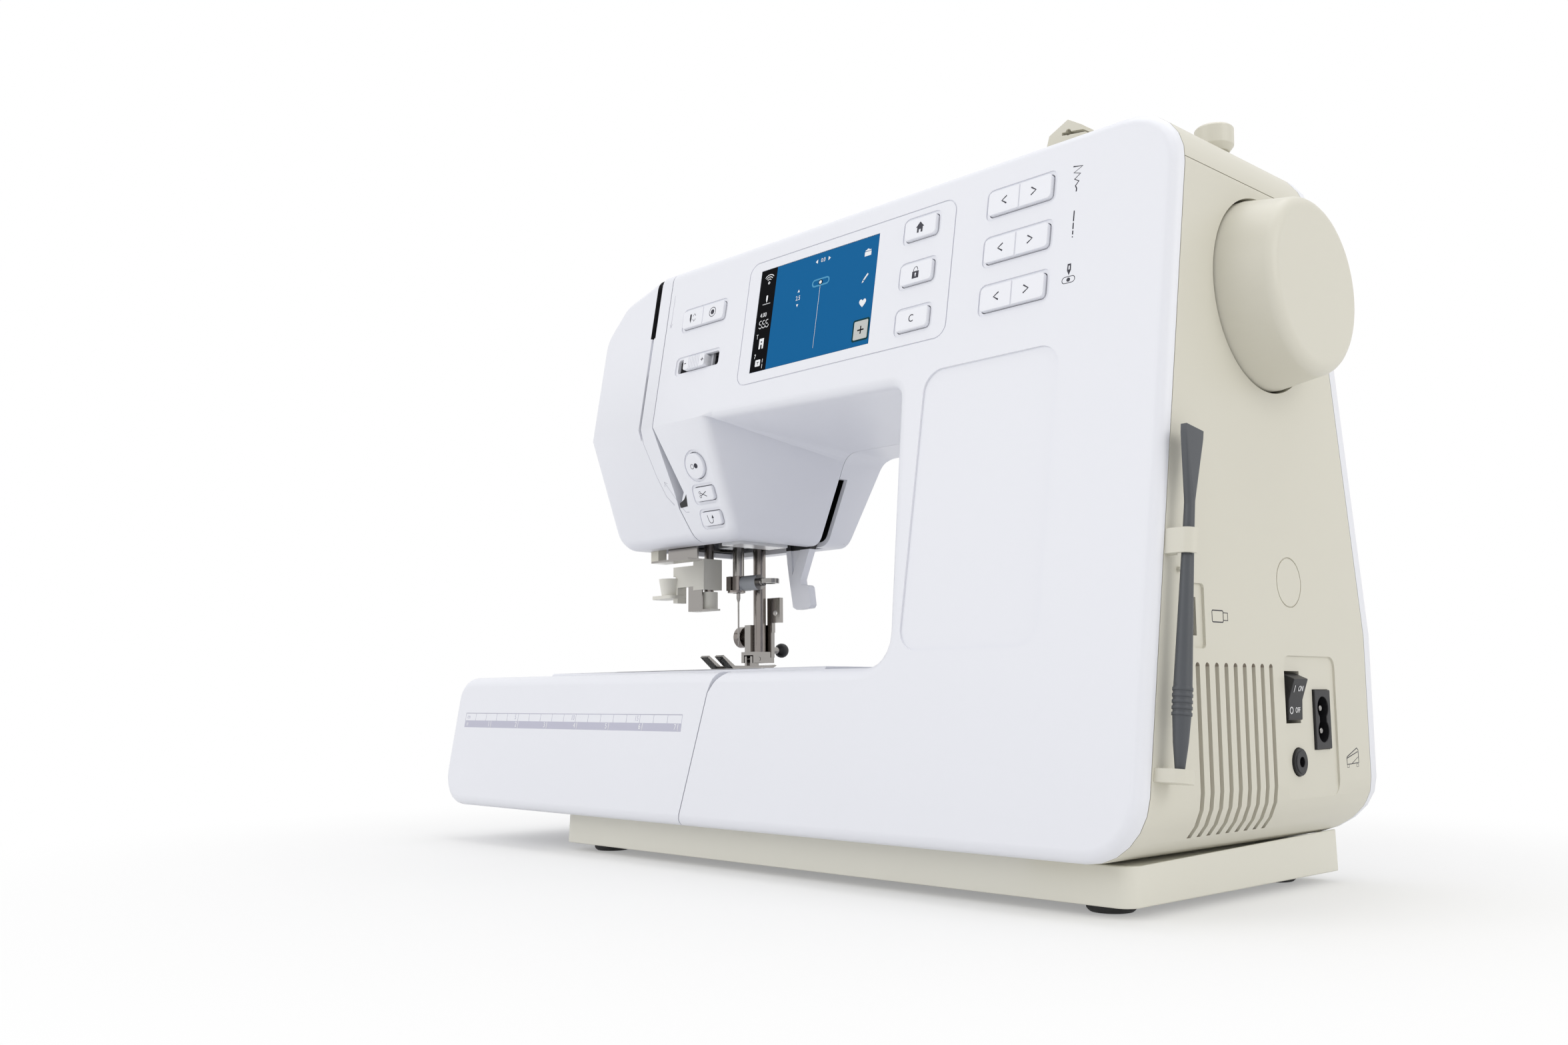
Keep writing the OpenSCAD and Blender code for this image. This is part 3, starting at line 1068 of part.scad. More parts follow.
module speed_slider() color(white) on_face(slider_at[0] - 1, slider_at[1]) {
    difference() {
        translate([0, 0, -wall - 0.9]) linear_extrude(wall + 2.5) round_rect(15.5, 6.2, 1.2);
        for (i = [-3:3]) translate([i * 1.2, 0, 1.6]) cube([0.5, 7, 0.7], center = true);
    }
    translate([0, 0, -wall - 2.6]) linear_extrude(1.7 + e) round_rect(17, 10.4, 1.2);
}
rocker_pin = [side_x - 3, 71.4];
module power_rocker() color(dark) {
    along_y(15.7, 26.3) translate(rocker_pin) polygon([[-6, -3], [-1, -8.6], [3.2, -8.3], [3.5, -1], [6, 6.6], [1, 8.8],
        [-1, 8.6], [-6, 3]]);
}
module power_inlet() color(dark) {
    difference() {
        on_side(42.6, 63) translate([0, 0, -17]) linear_extrude(17.2) square([12.2, 22], center = true);
        on_side(42.6, 63) translate([0, 0, -14]) linear_extrude(16) {
            for (y = [-4.3, 4.3]) translate([0, y]) circle(4.2);
            square([5.4, 8.6], center = true);
        }
    }
    color(steel) for (z = [58.8, 67.2]) rod_x(side_x - 14.1, side_x - 3, 42.6, z, 1.2);
}
module foot_control_jack() color(dark) difference() {
    union() {
        rod_x(side_x - 17, side_x + 0.2, 23.7, 47.8, 5);
        color(steel) rod_x(side_x - 1, side_x + 0.6, 23.7, 47.8, 4.2);
    }
    rod_x(side_x - 14, side_x + 2, 23.7, 47.8, 1.9);
}

// ---------- stylus ----------
pen_x = side_x + 6.4;
pen_lean = 8.2;
pen_foot = [pen_x, -70.2, 46];
// Frame along the stylus, from its tip upwards
module on_pen() {
    translate(pen_foot) rotate([-pen_lean, 0, 0]) children();
}
module stylus() color([0.38, 0.39, 0.41]) on_pen() {
    cylinder(r1 = 1.9, r2 = 2.6, h = 2.6);
    translate([0, 0, 2.5]) rotate_extrude() polygon([[0, 0], [2.7, 0], [4.3, 9], [5.1, 17], [5.3, 25], [5.3, 27],
        [0, 27]]);
    for (i = [0:4]) translate([0, 0, 20 + i * 2]) cylinder(r = 5.7, h = 1);
    translate([0, 0, 29.4]) rotate_extrude() polygon([[0, 0], [5.2, 0], [4.6, 16], [3.9, 34], [3.3, 52], [3, 63], [0, 63]]);
    // flat tip that opens out
    hull() {
        translate([0, 0, 89]) cylinder(r = 2.9, h = 3, $fn = 24);
        translate([-1.3, -6.3, 113.5]) cube([2.6, 12.6, 3]);
    }
}
clip_z = 73;
module stylus_clips() color(cream) {
    difference() {
        intersection() {
            on_pen() union() {
                // hook that closes round the stylus from the front
                translate([0, 0, clip_z]) cylinder(r = 5.2, h = 8.5);
                translate([-10, -5.2, clip_z]) cube([10, 5.2, 8.5]);
                // cup under the tip
                translate([0, 0, -1.6]) cylinder(r = 6.4, h = 4.4);
                translate([-10, -6.4, -1.6]) cube([10, 12.8, 4.4]);
            }
            block([side_x, -100, 30], [side_x + 30, 0, 140]);
        }
        on_pen() translate([0, 0, clip_z - 1]) cylinder(r = 3.75, h = 11);
        on_pen() translate([-9, 0, clip_z - 1]) cube([20, 8, 11]);
        on_pen() translate([0, 0, -0.6]) cylinder(r = 4.1, h = 8);
        for (x = [-1.2, 1.2]) on_pen() translate([x, x, -3]) cylinder(r = 0.6, h = 8);
    }
    rod_x(side_x, side_x + 1.2, -55.4, 114, 0.9);
}

base_plinth();
feet();
front_casing();
rear_casing();
top_cover();
side_cover();
face_cover();
machine_frame();
free_arm();
needle_plate();
bobbin_cover();
screen_glass();
led_lens();
thread_guides();
power_inlet();
foot_control_jack();
stylus_clips();
main_motor();
circuit_boards();
bobbin_case();
timing_belts();
spool_pin();
winder_stop();
pretension_guide();
handwheel();
main_shaft();
crank_rod();
motor_pulley();
lower_shaft();
rotary_hook();
bobbin();
swing_frame();
needle_bar();
needle_clamp();
needle();
needle_threader();
take_up_lever();
presser_bar();
foot_shank();
presser_foot();
presser_lever();
feed_bar();
feed_dog();
accessory_box();
speed_slider();
power_rocker();
stylus();
carry_handle();
spool_cap();
winder_spindle();
home_key();
lock_key();
clear_key();
width_key();
length_key();
position_key();
needle_key();
start_key();
cut_key();
reverse_key();
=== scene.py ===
"""Looks of a computer sewing machine with a free arm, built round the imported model."""

from __future__ import annotations

import json
import logging
import math
from dataclasses import dataclass, field
from enum import Enum
from typing import Callable, Sequence
import bpy
from mathutils import Matrix, Vector

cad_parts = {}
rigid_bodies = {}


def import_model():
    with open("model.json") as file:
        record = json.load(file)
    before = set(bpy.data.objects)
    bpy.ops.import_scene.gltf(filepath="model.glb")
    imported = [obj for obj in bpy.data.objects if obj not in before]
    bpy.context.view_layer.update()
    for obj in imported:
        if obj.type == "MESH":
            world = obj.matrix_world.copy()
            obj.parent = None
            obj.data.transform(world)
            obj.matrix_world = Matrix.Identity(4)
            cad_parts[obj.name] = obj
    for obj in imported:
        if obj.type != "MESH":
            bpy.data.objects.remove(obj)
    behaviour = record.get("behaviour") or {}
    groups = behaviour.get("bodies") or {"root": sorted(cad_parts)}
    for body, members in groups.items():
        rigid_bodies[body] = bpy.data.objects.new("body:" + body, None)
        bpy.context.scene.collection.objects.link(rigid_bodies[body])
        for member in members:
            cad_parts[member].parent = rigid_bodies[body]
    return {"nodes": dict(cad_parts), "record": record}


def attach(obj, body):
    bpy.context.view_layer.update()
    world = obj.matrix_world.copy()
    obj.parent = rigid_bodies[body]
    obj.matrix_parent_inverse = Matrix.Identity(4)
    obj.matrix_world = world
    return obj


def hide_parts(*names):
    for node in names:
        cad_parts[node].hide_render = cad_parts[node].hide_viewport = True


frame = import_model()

LOG = logging.getLogger("sewing_machine")
MM = 0.001

# Leans of the casing's faces in degrees, and the levels that they start from in millimetres
FACE_LEAN = 9.65
CHIN_LEAN = 19.8
FRONT_Y = -85.7
CASING_Z = 18.0
CREASE_Z = 203.5
SIDE_X = 202.0

# Mesh work and bumps: distances in metres, angles in degrees
WELD, PRINT_WELD = 2e-6, 5e-7
BUMP_REACH, BUMP_STRENGTH = 0.0002, 0.5
FLAT_ANGLE, EDGE_ANGLE, SMOOTH_ANGLE = 1.0, 32.0, 34.0

# The touch pen's axis, and where its flat blade begins, in millimetres and degrees
PEN_LEAN = math.radians(8.2)
PEN_AXIS = Vector((0.0, math.sin(PEN_LEAN), math.cos(PEN_LEAN)))
PEN_FOOT = Vector((208.4, -70.2, 46.0))
BLADE_START, BLADE_TAPER, BLADE_GAIN = 90.0, 24.0, 0.27
PEN_SHARE, CLIP_SHARE = 0.58, 0.72

# What of the pen's clips stands on the wall, and the plinth's end that meets the casing
NUB_Y, NUB_HALF, NUB_Z = -55.4, 1.2, 112.0
PLINTH_END_X, PLINTH_TOP_Z, PLINTH_SIDE_Y, PLINTH_LIFT = 188.0, 16.5, 70.0, 2.7

# Where faces are cut in two for an accent or a lift, and the pins of the mains inlet
COVER_CUT = (2, 251.0)
LEVER_CUT = (2, 146.5)
PLINTH_CUT = (0, 180.0)
PIN_Y, PIN_HEIGHTS, PIN_REACH = 42.6, (58.8, 67.2), 1.4

# The air vents of the side cover, in millimetres
VENT_LOW, VENT_HIGH = 20.0, 84.0
VENT_FIRST, VENT_LAST = -48.0, 7.0
VENT_MIDDLE, VENT_PITCH, VENT_HALF = -45.5, 6.25, 1.34
VENT_DEPTHS = (19.9, 21.7)
ROUND_X, ROUND_Z = 180.0, 40.0

# Steps of the prints' round lines, how far strokes stand out, and the units of the rule
RING_STEPS, ARC_STEPS, DISC_STEPS, CORNER_PARTS = 28, 12, 24, 5
STROKE_RADIUS, STROKE_RISE = 0.5, 8.0
CENTIMETRE, INCH = 10.0, 25.4

# Edges that are rounded off as corners: how near to the outline, how upright and how long
CORNER_REACH, UPRIGHT, LONG_EDGE, CORNER_STEPS = 1.5, 0.9, 6.0, 6

Point = tuple[float, float]
Point3 = tuple[float, float, float]
Thing = bpy.types.Object
Socket = bpy.types.NodeSocket
Feed = float | Sequence[float] | Socket


def face_y(z: float) -> float:
    """Depth of the leaning front face at a height, in millimetres."""
    return FRONT_Y + math.tan(math.radians(FACE_LEAN)) * (z - CASING_Z)


def chin_y(z: float) -> float:
    """Depth of the chin below the crease at a height, in millimetres."""
    return face_y(CREASE_Z) + math.tan(math.radians(CHIN_LEAN)) * (CREASE_Z - z)


# ---- finishes


class Slot(Enum):
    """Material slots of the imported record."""

    CASING = "casing_white"
    KEY = "key_plastic"
    DISPLAY = "display_glass"
    DARK = "dark_plastic"
    STEEL = "steel"
    GREY = "grey_plastic"


@dataclass(frozen=True)
class Wires:
    """Short ways to add the nodes of one tree and to link them."""

    tree: bpy.types.NodeTree

    def feed(self, socket: Socket, value: Feed) -> None:
        """Links an input to a socket, or gives it a constant."""
        if isinstance(value, Socket):
            self.tree.links.new(value, socket)
        else:
            socket.default_value = value

    def add(
        self, kind: str, inputs: dict[str | int, Feed] | None = None, **settings: object
    ) -> bpy.types.Node:
        """Adds a node, sets it up and feeds its inputs.

        Args:
            kind: Type of the node.
            inputs: Constants or sockets, by the input's name or number.
            settings: The node's own properties.

        Returns:
            The node.
        """
        node = self.tree.nodes.new(kind)
        for name, value in settings.items():
            setattr(node, name, value)
        for key, value in (inputs or {}).items():
            self.feed(node.inputs[key], value)
        return node

    def maths(self, operation: str, *values: Feed) -> Socket:
        """Adds a math node on these values and returns its output."""
        return self.add("ShaderNodeMath", dict(enumerate(values)), operation=operation).outputs[0]


class SkinGroup:
    """Node group for a surface's fine grain, faint mottling and brushed lines."""

    NAME = "surface_skin"
    PATCH_SCALE, PATCH_DETAIL, GRAIN_DETAIL = 22.0, 3.0, 2.0
    INPUTS = {
        "Color": "Color", "Mottle": "Float", "Roughness": "Float", "Roughness Spread": "Float",
        "Grain Scale": "Float", "Grain Height": "Float", "Stretch": "Vector",
    }
    OUTPUTS = {"Color": "Color", "Roughness": "Float", "Height": "Float"}

    @classmethod
    def get(cls) -> bpy.types.NodeTree:
        """Builds the group once and returns it."""
        return bpy.data.node_groups.get(cls.NAME) or cls._build()

    @classmethod
    def _build(cls) -> bpy.types.NodeTree:
        """Makes the group with its named inputs and outputs."""
        tree = bpy.data.node_groups.new(cls.NAME, "ShaderNodeTree")
        for way, sockets in (("INPUT", cls.INPUTS), ("OUTPUT", cls.OUTPUTS)):
            for name, kind in sockets.items():
                tree.interface.new_socket(name, in_out=way, socket_type="NodeSocket" + kind)
        wires = Wires(tree)
        source = wires.add("NodeGroupInput").outputs
        place = wires.add("ShaderNodeTexCoord").outputs["Object"]
        drawn = wires.add("ShaderNodeVectorMath", {0: place, 1: source["Stretch"]},
                          operation="MULTIPLY").outputs[0]
        broad, fine = (
            wires.add("ShaderNodeTexNoise", {"Vector": drawn, "Scale": scale, "Detail": detail})
            for scale, detail in (
                (cls.PATCH_SCALE, cls.PATCH_DETAIL), (source["Grain Scale"], cls.GRAIN_DETAIL)))
        # colour: a little darker and lighter in broad soft patches
        shade = wires.maths("MULTIPLY_ADD", broad.outputs["Fac"], 2.0, -1.0)
        tone = wires.maths("MULTIPLY_ADD", shade, source["Mottle"], 1.0)
        tint = wires.add("ShaderNodeVectorMath", {0: source["Color"], "Scale": tone},
                         operation="SCALE").outputs[0]
        # roughness varies with both noises
        grain = wires.maths("MULTIPLY_ADD", fine.outputs["Fac"], 1.0, -0.5)
        mixed = wires.maths("ADD", shade, grain)
        rough = wires.maths("MULTIPLY_ADD", mixed, source["Roughness Spread"], source["Roughness"])
        raised = wires.maths("MULTIPLY", fine.outputs["Fac"], source["Grain Height"])
        wires.add("NodeGroupOutput", {"Color": tint, "Roughness": rough, "Height": raised})
        return tree


@dataclass(frozen=True)
class Finish:
    """One surface finish: its colour, gloss and fine texture."""

    name: str
    color: Point3
    roughness: float = 0.4
    spread: float = 0.04
    metallic: float = 0.0
    mottle: float = 0.012
    grain: float = 900.0
    height: float = 0.02
    stretch: Point3 = (1.0, 1.0, 1.0)
    transmission: float = 0.0
    ior: float = 1.46

    def material(self) -> bpy.types.Material:
        """Returns the finish's material, made on first use."""
        found = bpy.data.materials.get(self.name)
        if found:
            return found
        made = bpy.data.materials.new(self.name)
        made.use_nodes = True
        wires = Wires(made.node_tree)
        skin = wires.add("ShaderNodeGroup", {
            "Color": (*self.color, 1.0), "Mottle": self.mottle, "Roughness": self.roughness,
            "Roughness Spread": self.spread, "Grain Scale": self.grain,
            "Grain Height": self.height, "Stretch": self.stretch,
        }, node_tree=SkinGroup.get()).outputs
        bump = wires.add("ShaderNodeBump", {
            "Distance": BUMP_REACH, "Strength": BUMP_STRENGTH, "Height": skin["Height"]})
        shader = made.node_tree.nodes["Principled BSDF"].inputs
        for key, value in (
            ("Normal", bump.outputs["Normal"]), ("Base Color", skin["Color"]),
            ("Roughness", skin["Roughness"]), ("Metallic", self.metallic), ("IOR", self.ior),
            ("Transmission Weight", self.transmission),
        ):
            wires.feed(shader[key], value)
        return made


SOFT_GRAIN = {"mottle": 0.02, "height": 0.1}
PLATED = {"spread": 0.06, "metallic": 1.0, "mottle": 0.04, "grain": 400.0, "height": 0.1,
          "stretch": (1.0, 1.0, 10.0)}
LIT = {"mottle": 0.0, "height": 0.0, "ior": 1.08}

WHITE = Finish("white_moulding", (0.80, 0.81, 0.86), 0.36, mottle=0.006, height=0.05)
KEY_WHITE = Finish("key_moulding", (0.82, 0.83, 0.88), 0.30, mottle=0.006, height=0.04)
CREAM = Finish("cream_moulding", (0.66, 0.64, 0.555), 0.38, mottle=0.008, height=0.05)
# black parts, and also the painted shade on the presser lever, the channel wall, the channel gap
# and behind the lever's slot
DARK = Finish("black_moulding_and_shade", (0.012, 0.012, 0.014), 0.42, mottle=0.05, height=0.2)
PEN = Finish("pen_moulding", (0.072, 0.078, 0.088), 0.45, mottle=0.04, height=0.2)
BEIGE = Finish("beige_moulding", (0.75, 0.735, 0.67), 0.42, **SOFT_GRAIN)
GREY = Finish("grey_moulding", (0.36, 0.38, 0.41), 0.38, **SOFT_GRAIN)
RUBBER = Finish("dark_rubber", (0.05, 0.05, 0.052), 0.7, mottle=0.08, height=0.4)
GLASS = Finish(
    "clear_moulding", (0.86, 0.9, 0.93), 0.06, transmission=0.9, mottle=0.0, height=0.0)
LENS = Finish("lamp_lens", (0.85, 0.86, 0.88), 0.2, transmission=0.4, mottle=0.0, height=0.1)
# painted light: cream made lighter for the plinth, whose faces lie in the casing's shade
PLINTH_BRIGHTENED = Finish("plinth_brightened_cream", (0.76, 0.745, 0.665), 0.38, mottle=0.008, height=0.05)
BAR = Finish("dark_plated_bar", (0.27, 0.245, 0.23), 0.17, **PLATED)
STEEL = Finish("brushed_steel", (0.46, 0.45, 0.44), 0.3, spread=0.1, metallic=1.0, mottle=0.06,
               grain=500.0, height=0.3, stretch=(1.0, 1.0, 14.0))
BRIGHT = Finish("polished_metal", (0.34, 0.325, 0.31), 0.16, **PLATED)
CHROME = Finish("plated_steel", (0.30, 0.29, 0.28), 0.1, metallic=1.0, mottle=0.03, grain=300.0,
                height=0.05)
BRUSHED_PLATE = Finish("plate_steel", (0.62, 0.62, 0.63), 0.3, spread=0.08, metallic=1.0,
                       mottle=0.04, grain=700.0, height=0.3, stretch=(1.0, 16.0, 1.0))
CAST = Finish("cast_alloy", (0.42, 0.43, 0.44), 0.55, spread=0.1, metallic=0.9, mottle=0.1,
              grain=500.0, height=0.8)
HOOK = Finish("hook_moulding", (0.03, 0.03, 0.035), 0.35, mottle=0.05, height=0.1)
BOARD = Finish("board_laminate", (0.02, 0.16, 0.07), 0.4, mottle=0.1, height=0.2)
PANEL_BLUE = Finish("panel_blue", (0.008, 0.124, 0.319), 0.25, **LIT)
PANEL_BLACK = Finish("panel_black", (0.004, 0.004, 0.005), 0.2, **LIT)
PANEL_WHITE = Finish("panel_white", (0.85, 0.86, 0.88), 0.3, **LIT)
PANEL_PALE = Finish("panel_pale", (0.09, 0.33, 0.55), 0.3, **LIT)
PANEL_TEAL = Finish("panel_teal", (0.006, 0.045, 0.055), 0.3, **LIT)
PANEL_KEY = Finish("panel_key", (0.55, 0.57, 0.55), 0.3, **LIT)
INK = Finish("navy_ink", (0.016, 0.016, 0.030), 0.5, **SOFT_GRAIN)
INK_PALE = Finish("pale_ink", (0.53, 0.53, 0.60), 0.5, **SOFT_GRAIN)
INK_RULE = Finish("rule_ink", (0.50, 0.50, 0.60), 0.5, **SOFT_GRAIN)
INK_WHITE = Finish("white_ink", (0.82, 0.82, 0.84), 0.5, **SOFT_GRAIN)
# painted shade: warm grey-brown on the walls and floors of the side cover's vent slots
VENT_SHADE = Finish("vent_shadow", (0.33, 0.29, 0.24), 0.6, mottle=0.05, height=0.2)

PRINT_SLOT = {
    INK: Slot.DARK, DARK: Slot.DARK, INK_PALE: Slot.GREY, INK_RULE: Slot.GREY,
    INK_WHITE: Slot.KEY, WHITE: Slot.CASING,
}

NODE_FINISH: dict[str, Finish] = {node: finish for finish, nodes in (
    (WHITE, "front_casing rear_casing face_cover free_arm accessory_box presser_lever"),
    (CREAM, "top_cover side_cover stylus_clips handwheel winder_stop pretension_guide spool_pin"
            " carry_handle spool_cap"),
    (KEY_WHITE, "home_key lock_key clear_key width_key length_key position_key needle_key"
                " start_key cut_key reverse_key speed_slider"),
    (RUBBER, "feet timing_belts"),
    (DARK, "power_inlet foot_control_jack power_rocker"),
    (CAST, "machine_frame swing_frame crank_rod feed_bar"),
    (STEEL, "main_shaft lower_shaft motor_pulley main_motor rotary_hook feed_dog winder_spindle"),
    (BAR, "presser_bar"),
    (BRIGHT, "needle_bar needle take_up_lever thread_guides presser_foot foot_shank"),
    (GREY, "needle_clamp"),
    (BEIGE, "needle_threader"),
    (PLINTH_BRIGHTENED, "base_plinth"),
    (BRUSHED_PLATE, "needle_plate"),
    (GLASS, "bobbin_cover bobbin"),
    (HOOK, "bobbin_case"),
    (LENS, "led_lens"),
    (PANEL_BLUE, "screen_glass"),
    (BOARD, "circuit_boards"),
    (PEN, "stylus"),
) for node in nodes.split()}


# ---- shop tools


class Bench:
    """Operators that shape, join and finish pieces, as a modeller uses them by hand."""

    @staticmethod
    def clear() -> None:
        """Deselects everything and leaves no active object."""
        for thing in bpy.context.view_layer.objects:
            thing.select_set(False)
        bpy.context.view_layer.objects.active = None

    @staticmethod
    def put(name: str, data: bpy.types.ID) -> Thing:
        """Puts an object with this data into the scene."""
        thing = bpy.data.objects.new(name, data)
        bpy.context.scene.collection.objects.link(thing)
        return thing

    @staticmethod
    def pick(*things: Thing) -> None:
        """Selects only these objects and makes the last one active."""
        Bench.clear()
        for thing in things:
            thing.select_set(True)
        bpy.context.view_layer.objects.active = things[-1]

    @staticmethod
    def join(things: Sequence[Thing], name: str) -> Thing:
        """Joins objects into one of this name, at the origin."""
        Bench.pick(*things)
        if len(things) > 1:
            bpy.ops.object.join()
        joined = things[-1]
        joined.name = joined.data.name = name
        Bench.settle(joined)
        return joined

    @staticmethod
    def settle(thing: Thing) -> None:
        """Applies an object's place, turn and size to its mesh."""
        Bench.pick(thing)
        bpy.ops.object.transform_apply(location=True, rotation=True, scale=True)

    @staticmethod
    def bevel(thing: Thing, width: float, segments: int, angle: float = EDGE_ANGLE) -> None:
        """Rounds the sharp edges by a width in metres, and applies the modifier."""
        Bench.pick(thing)
        edge = thing.modifiers.new("edge", "BEVEL")
        edge.width = width
        edge.segments = segments
        edge.limit_method = "ANGLE"
        edge.angle_limit = math.radians(angle)
        edge.miter_outer = "MITER_ARC"
        bpy.ops.object.modifier_apply(modifier=edge.name)

    @staticmethod
    def smooth(thing: Thing) -> None:
        """Shades an object smooth, but for its sharp edges."""
        Bench.pick(thing)
        bpy.ops.object.shade_smooth_by_angle(angle=math.radians(SMOOTH_ANGLE))

    @staticmethod
    def even(thing: Thing) -> None:
        """Weights the normals by face area, so that flat faces stay flat beside round edges."""
        Bench.pick(thing)
        weight = thing.modifiers.new("even", "WEIGHTED_NORMAL")
        weight.keep_sharp = True
        bpy.ops.object.modifier_apply(modifier=weight.name)

    @staticmethod
    def dress(thing: Thing, finish: Finish, body: str, slot: str) -> None:
        """Gives a piece its finish and body, and reports it.

        Args:
            thing: The finished piece.
            finish: Its surface.
            body: The body that it rides on.
            slot: The record's slot; not used.
        """
        thing.data.materials.clear()
        thing.data.materials.append(finish.material())
        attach(thing, body)
        LOG.info("%s: %s on %s", thing.name, finish.name, body)


def body_of(node: str) -> str:
    """Name of the body that holds a node."""
    groups = frame["record"]["behaviour"]["bodies"]
    return next(body for body, members in groups.items() if node in members)


def slot_of(node: str) -> str:
    """Material slot of a node in the record."""
    rows = frame["record"]["subparts"]
    return next(row["material_slot"] for row in rows if row["node"] == node)


# A finish for part of a moulding, and the test of a face's centre (in mm) and normal for it
Accent = tuple[Finish, Callable[[Vector, Vector], bool]]


def slim_pen(point: Vector, wall_side: bool = True, share: float = PEN_SHARE) -> Vector:
    """Draws a point towards the pen's axis, less so at its flat blade.

    Args:
        point: Place in millimetres.
        wall_side: Whether the side nearer to the wall is drawn in too.
        share: What is left of the radius below the blade.

    Returns:
        The new place.
    """
    out = point - PEN_FOOT
    along = out.dot(PEN_AXIS)
    out -= PEN_AXIS * along
    share += BLADE_GAIN * min(max((along - BLADE_START) / BLADE_TAPER, 0.0), 1.0)
    across = share if wall_side or out.x > 0.0 else 1.0
    return PEN_FOOT + PEN_AXIS * along + Vector((out.x * across, out.y * share, out.z * share))


def slim_clip(point: Vector) -> Vector:
    """Draws the clips in round the pen, and leaves what stands on the wall."""
    on_nub = abs(point.y - NUB_Y) < NUB_HALF and point.z > NUB_Z
    return point if on_nub else slim_pen(point, wall_side=False, share=CLIP_SHARE)


def raise_plinth(point: Vector) -> Vector:
    """Lifts the plinth's right-hand end to the round underside of the casing."""
    at_end = point.x > PLINTH_END_X and point.z > PLINTH_TOP_Z and abs(point.y) > PLINTH_SIDE_Y
    return point + Vector((0.0, 0.0, PLINTH_LIFT if at_end else 0.0))


@dataclass
class Moulding:
    """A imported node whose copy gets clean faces, soft edges and a finish."""

    node: str
    edge: float = 0.3
    segments: int = 2
    accents: Sequence[Accent] = ()
    cut: tuple[int, float] | None = None
    corner: float = 0.0
    clean: bool = True
    reshape: Callable[[Vector], Vector] | None = None

    def build(self) -> None:
        """Copies the node, cleans its faces, rounds its edges and dresses it."""
        piece = Bench.put(self.node + "_piece", frame["nodes"][self.node].data.copy())
        Bench.pick(piece)
        bpy.ops.object.mode_set(mode="EDIT")
        bpy.ops.mesh.select_all(action="SELECT")
        bpy.ops.mesh.remove_doubles(threshold=WELD)
        if self.clean:
            bpy.ops.mesh.dissolve_limited(angle_limit=math.radians(FLAT_ANGLE))
        if self.cut:
            axis, place = self.cut
            way = [float(i == axis) for i in range(3)]
            bpy.ops.mesh.select_all(action="SELECT")
            bpy.ops.mesh.bisect(plane_co=[place * MM * part for part in way], plane_no=way)
        bpy.ops.object.mode_set(mode="OBJECT")
        if self.corner:
            self.round_corners(piece)
        if self.reshape:
            for vertex in piece.data.vertices:
                vertex.co = self.reshape(vertex.co / MM) * MM
        if self.edge:
            Bench.bevel(piece, self.edge * MM, self.segments)
        Bench.smooth(piece)
        Bench.even(piece)
        Bench.dress(piece, NODE_FINISH[self.node], body_of(self.node), slot_of(self.node))
        self.accent(piece)
        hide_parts(self.node)

    def round_corners(self, piece: Thing) -> None:
        """Rounds the long upright edges at the outer front corners."""
        bpy.ops.object.mode_set(mode="EDIT")
        bpy.ops.mesh.select_mode(type="EDGE")
        bpy.ops.mesh.select_all(action="DESELECT")
        bpy.ops.object.mode_set(mode="OBJECT")
        points = [vertex.co for vertex in piece.data.vertices]
        spans = [(min(p[i] for p in points), max(p[i] for p in points)) for i in (0, 1)]
        for edge in piece.data.edges:
            first, last = (points[i] for i in edge.vertices)
            way, middle = last - first, (first + last) / 2
            outer = middle.y < 0.0 and all(
                min(place - low, high - place) < CORNER_REACH * MM
                for place, (low, high) in zip(middle, spans))
            upright = abs(way.z) > UPRIGHT * way.length and way.length > LONG_EDGE * MM
            edge.select = outer and upright
        bpy.ops.object.mode_set(mode="EDIT")
        bpy.ops.mesh.bevel(offset=self.corner * MM, segments=CORNER_STEPS, affect="EDGES")
        bpy.ops.mesh.select_mode(type="VERT")
        bpy.ops.object.mode_set(mode="OBJECT")

    def accent(self, piece: Thing) -> None:
        """Gives the accents' faces their own finishes."""
        for number, (finish, picks) in enumerate(self.accents, start=1):
            piece.data.materials.append(finish.material())
            for face in piece.data.polygons:
                if picks(face.center / MM, face.normal):
                    face.material_index = number


def in_vent(centre: Vector, normal: Vector) -> bool:
    """Tells whether a face of the side cover lies in one of its nine slots."""
    if not (VENT_LOW < centre.z < VENT_HIGH and centre.x > ROUND_X):
        return False
    half_pitch = VENT_PITCH / 2
    off = abs((centre.y - VENT_MIDDLE + half_pitch) % VENT_PITCH - half_pitch)
    if off > VENT_HALF or not VENT_FIRST < centre.y < VENT_LAST:
        return False
    across, above = centre.x - ROUND_X, min(centre.z - ROUND_Z, 0.0)
    return VENT_DEPTHS[0] < math.hypot(across, above) < VENT_DEPTHS[1]
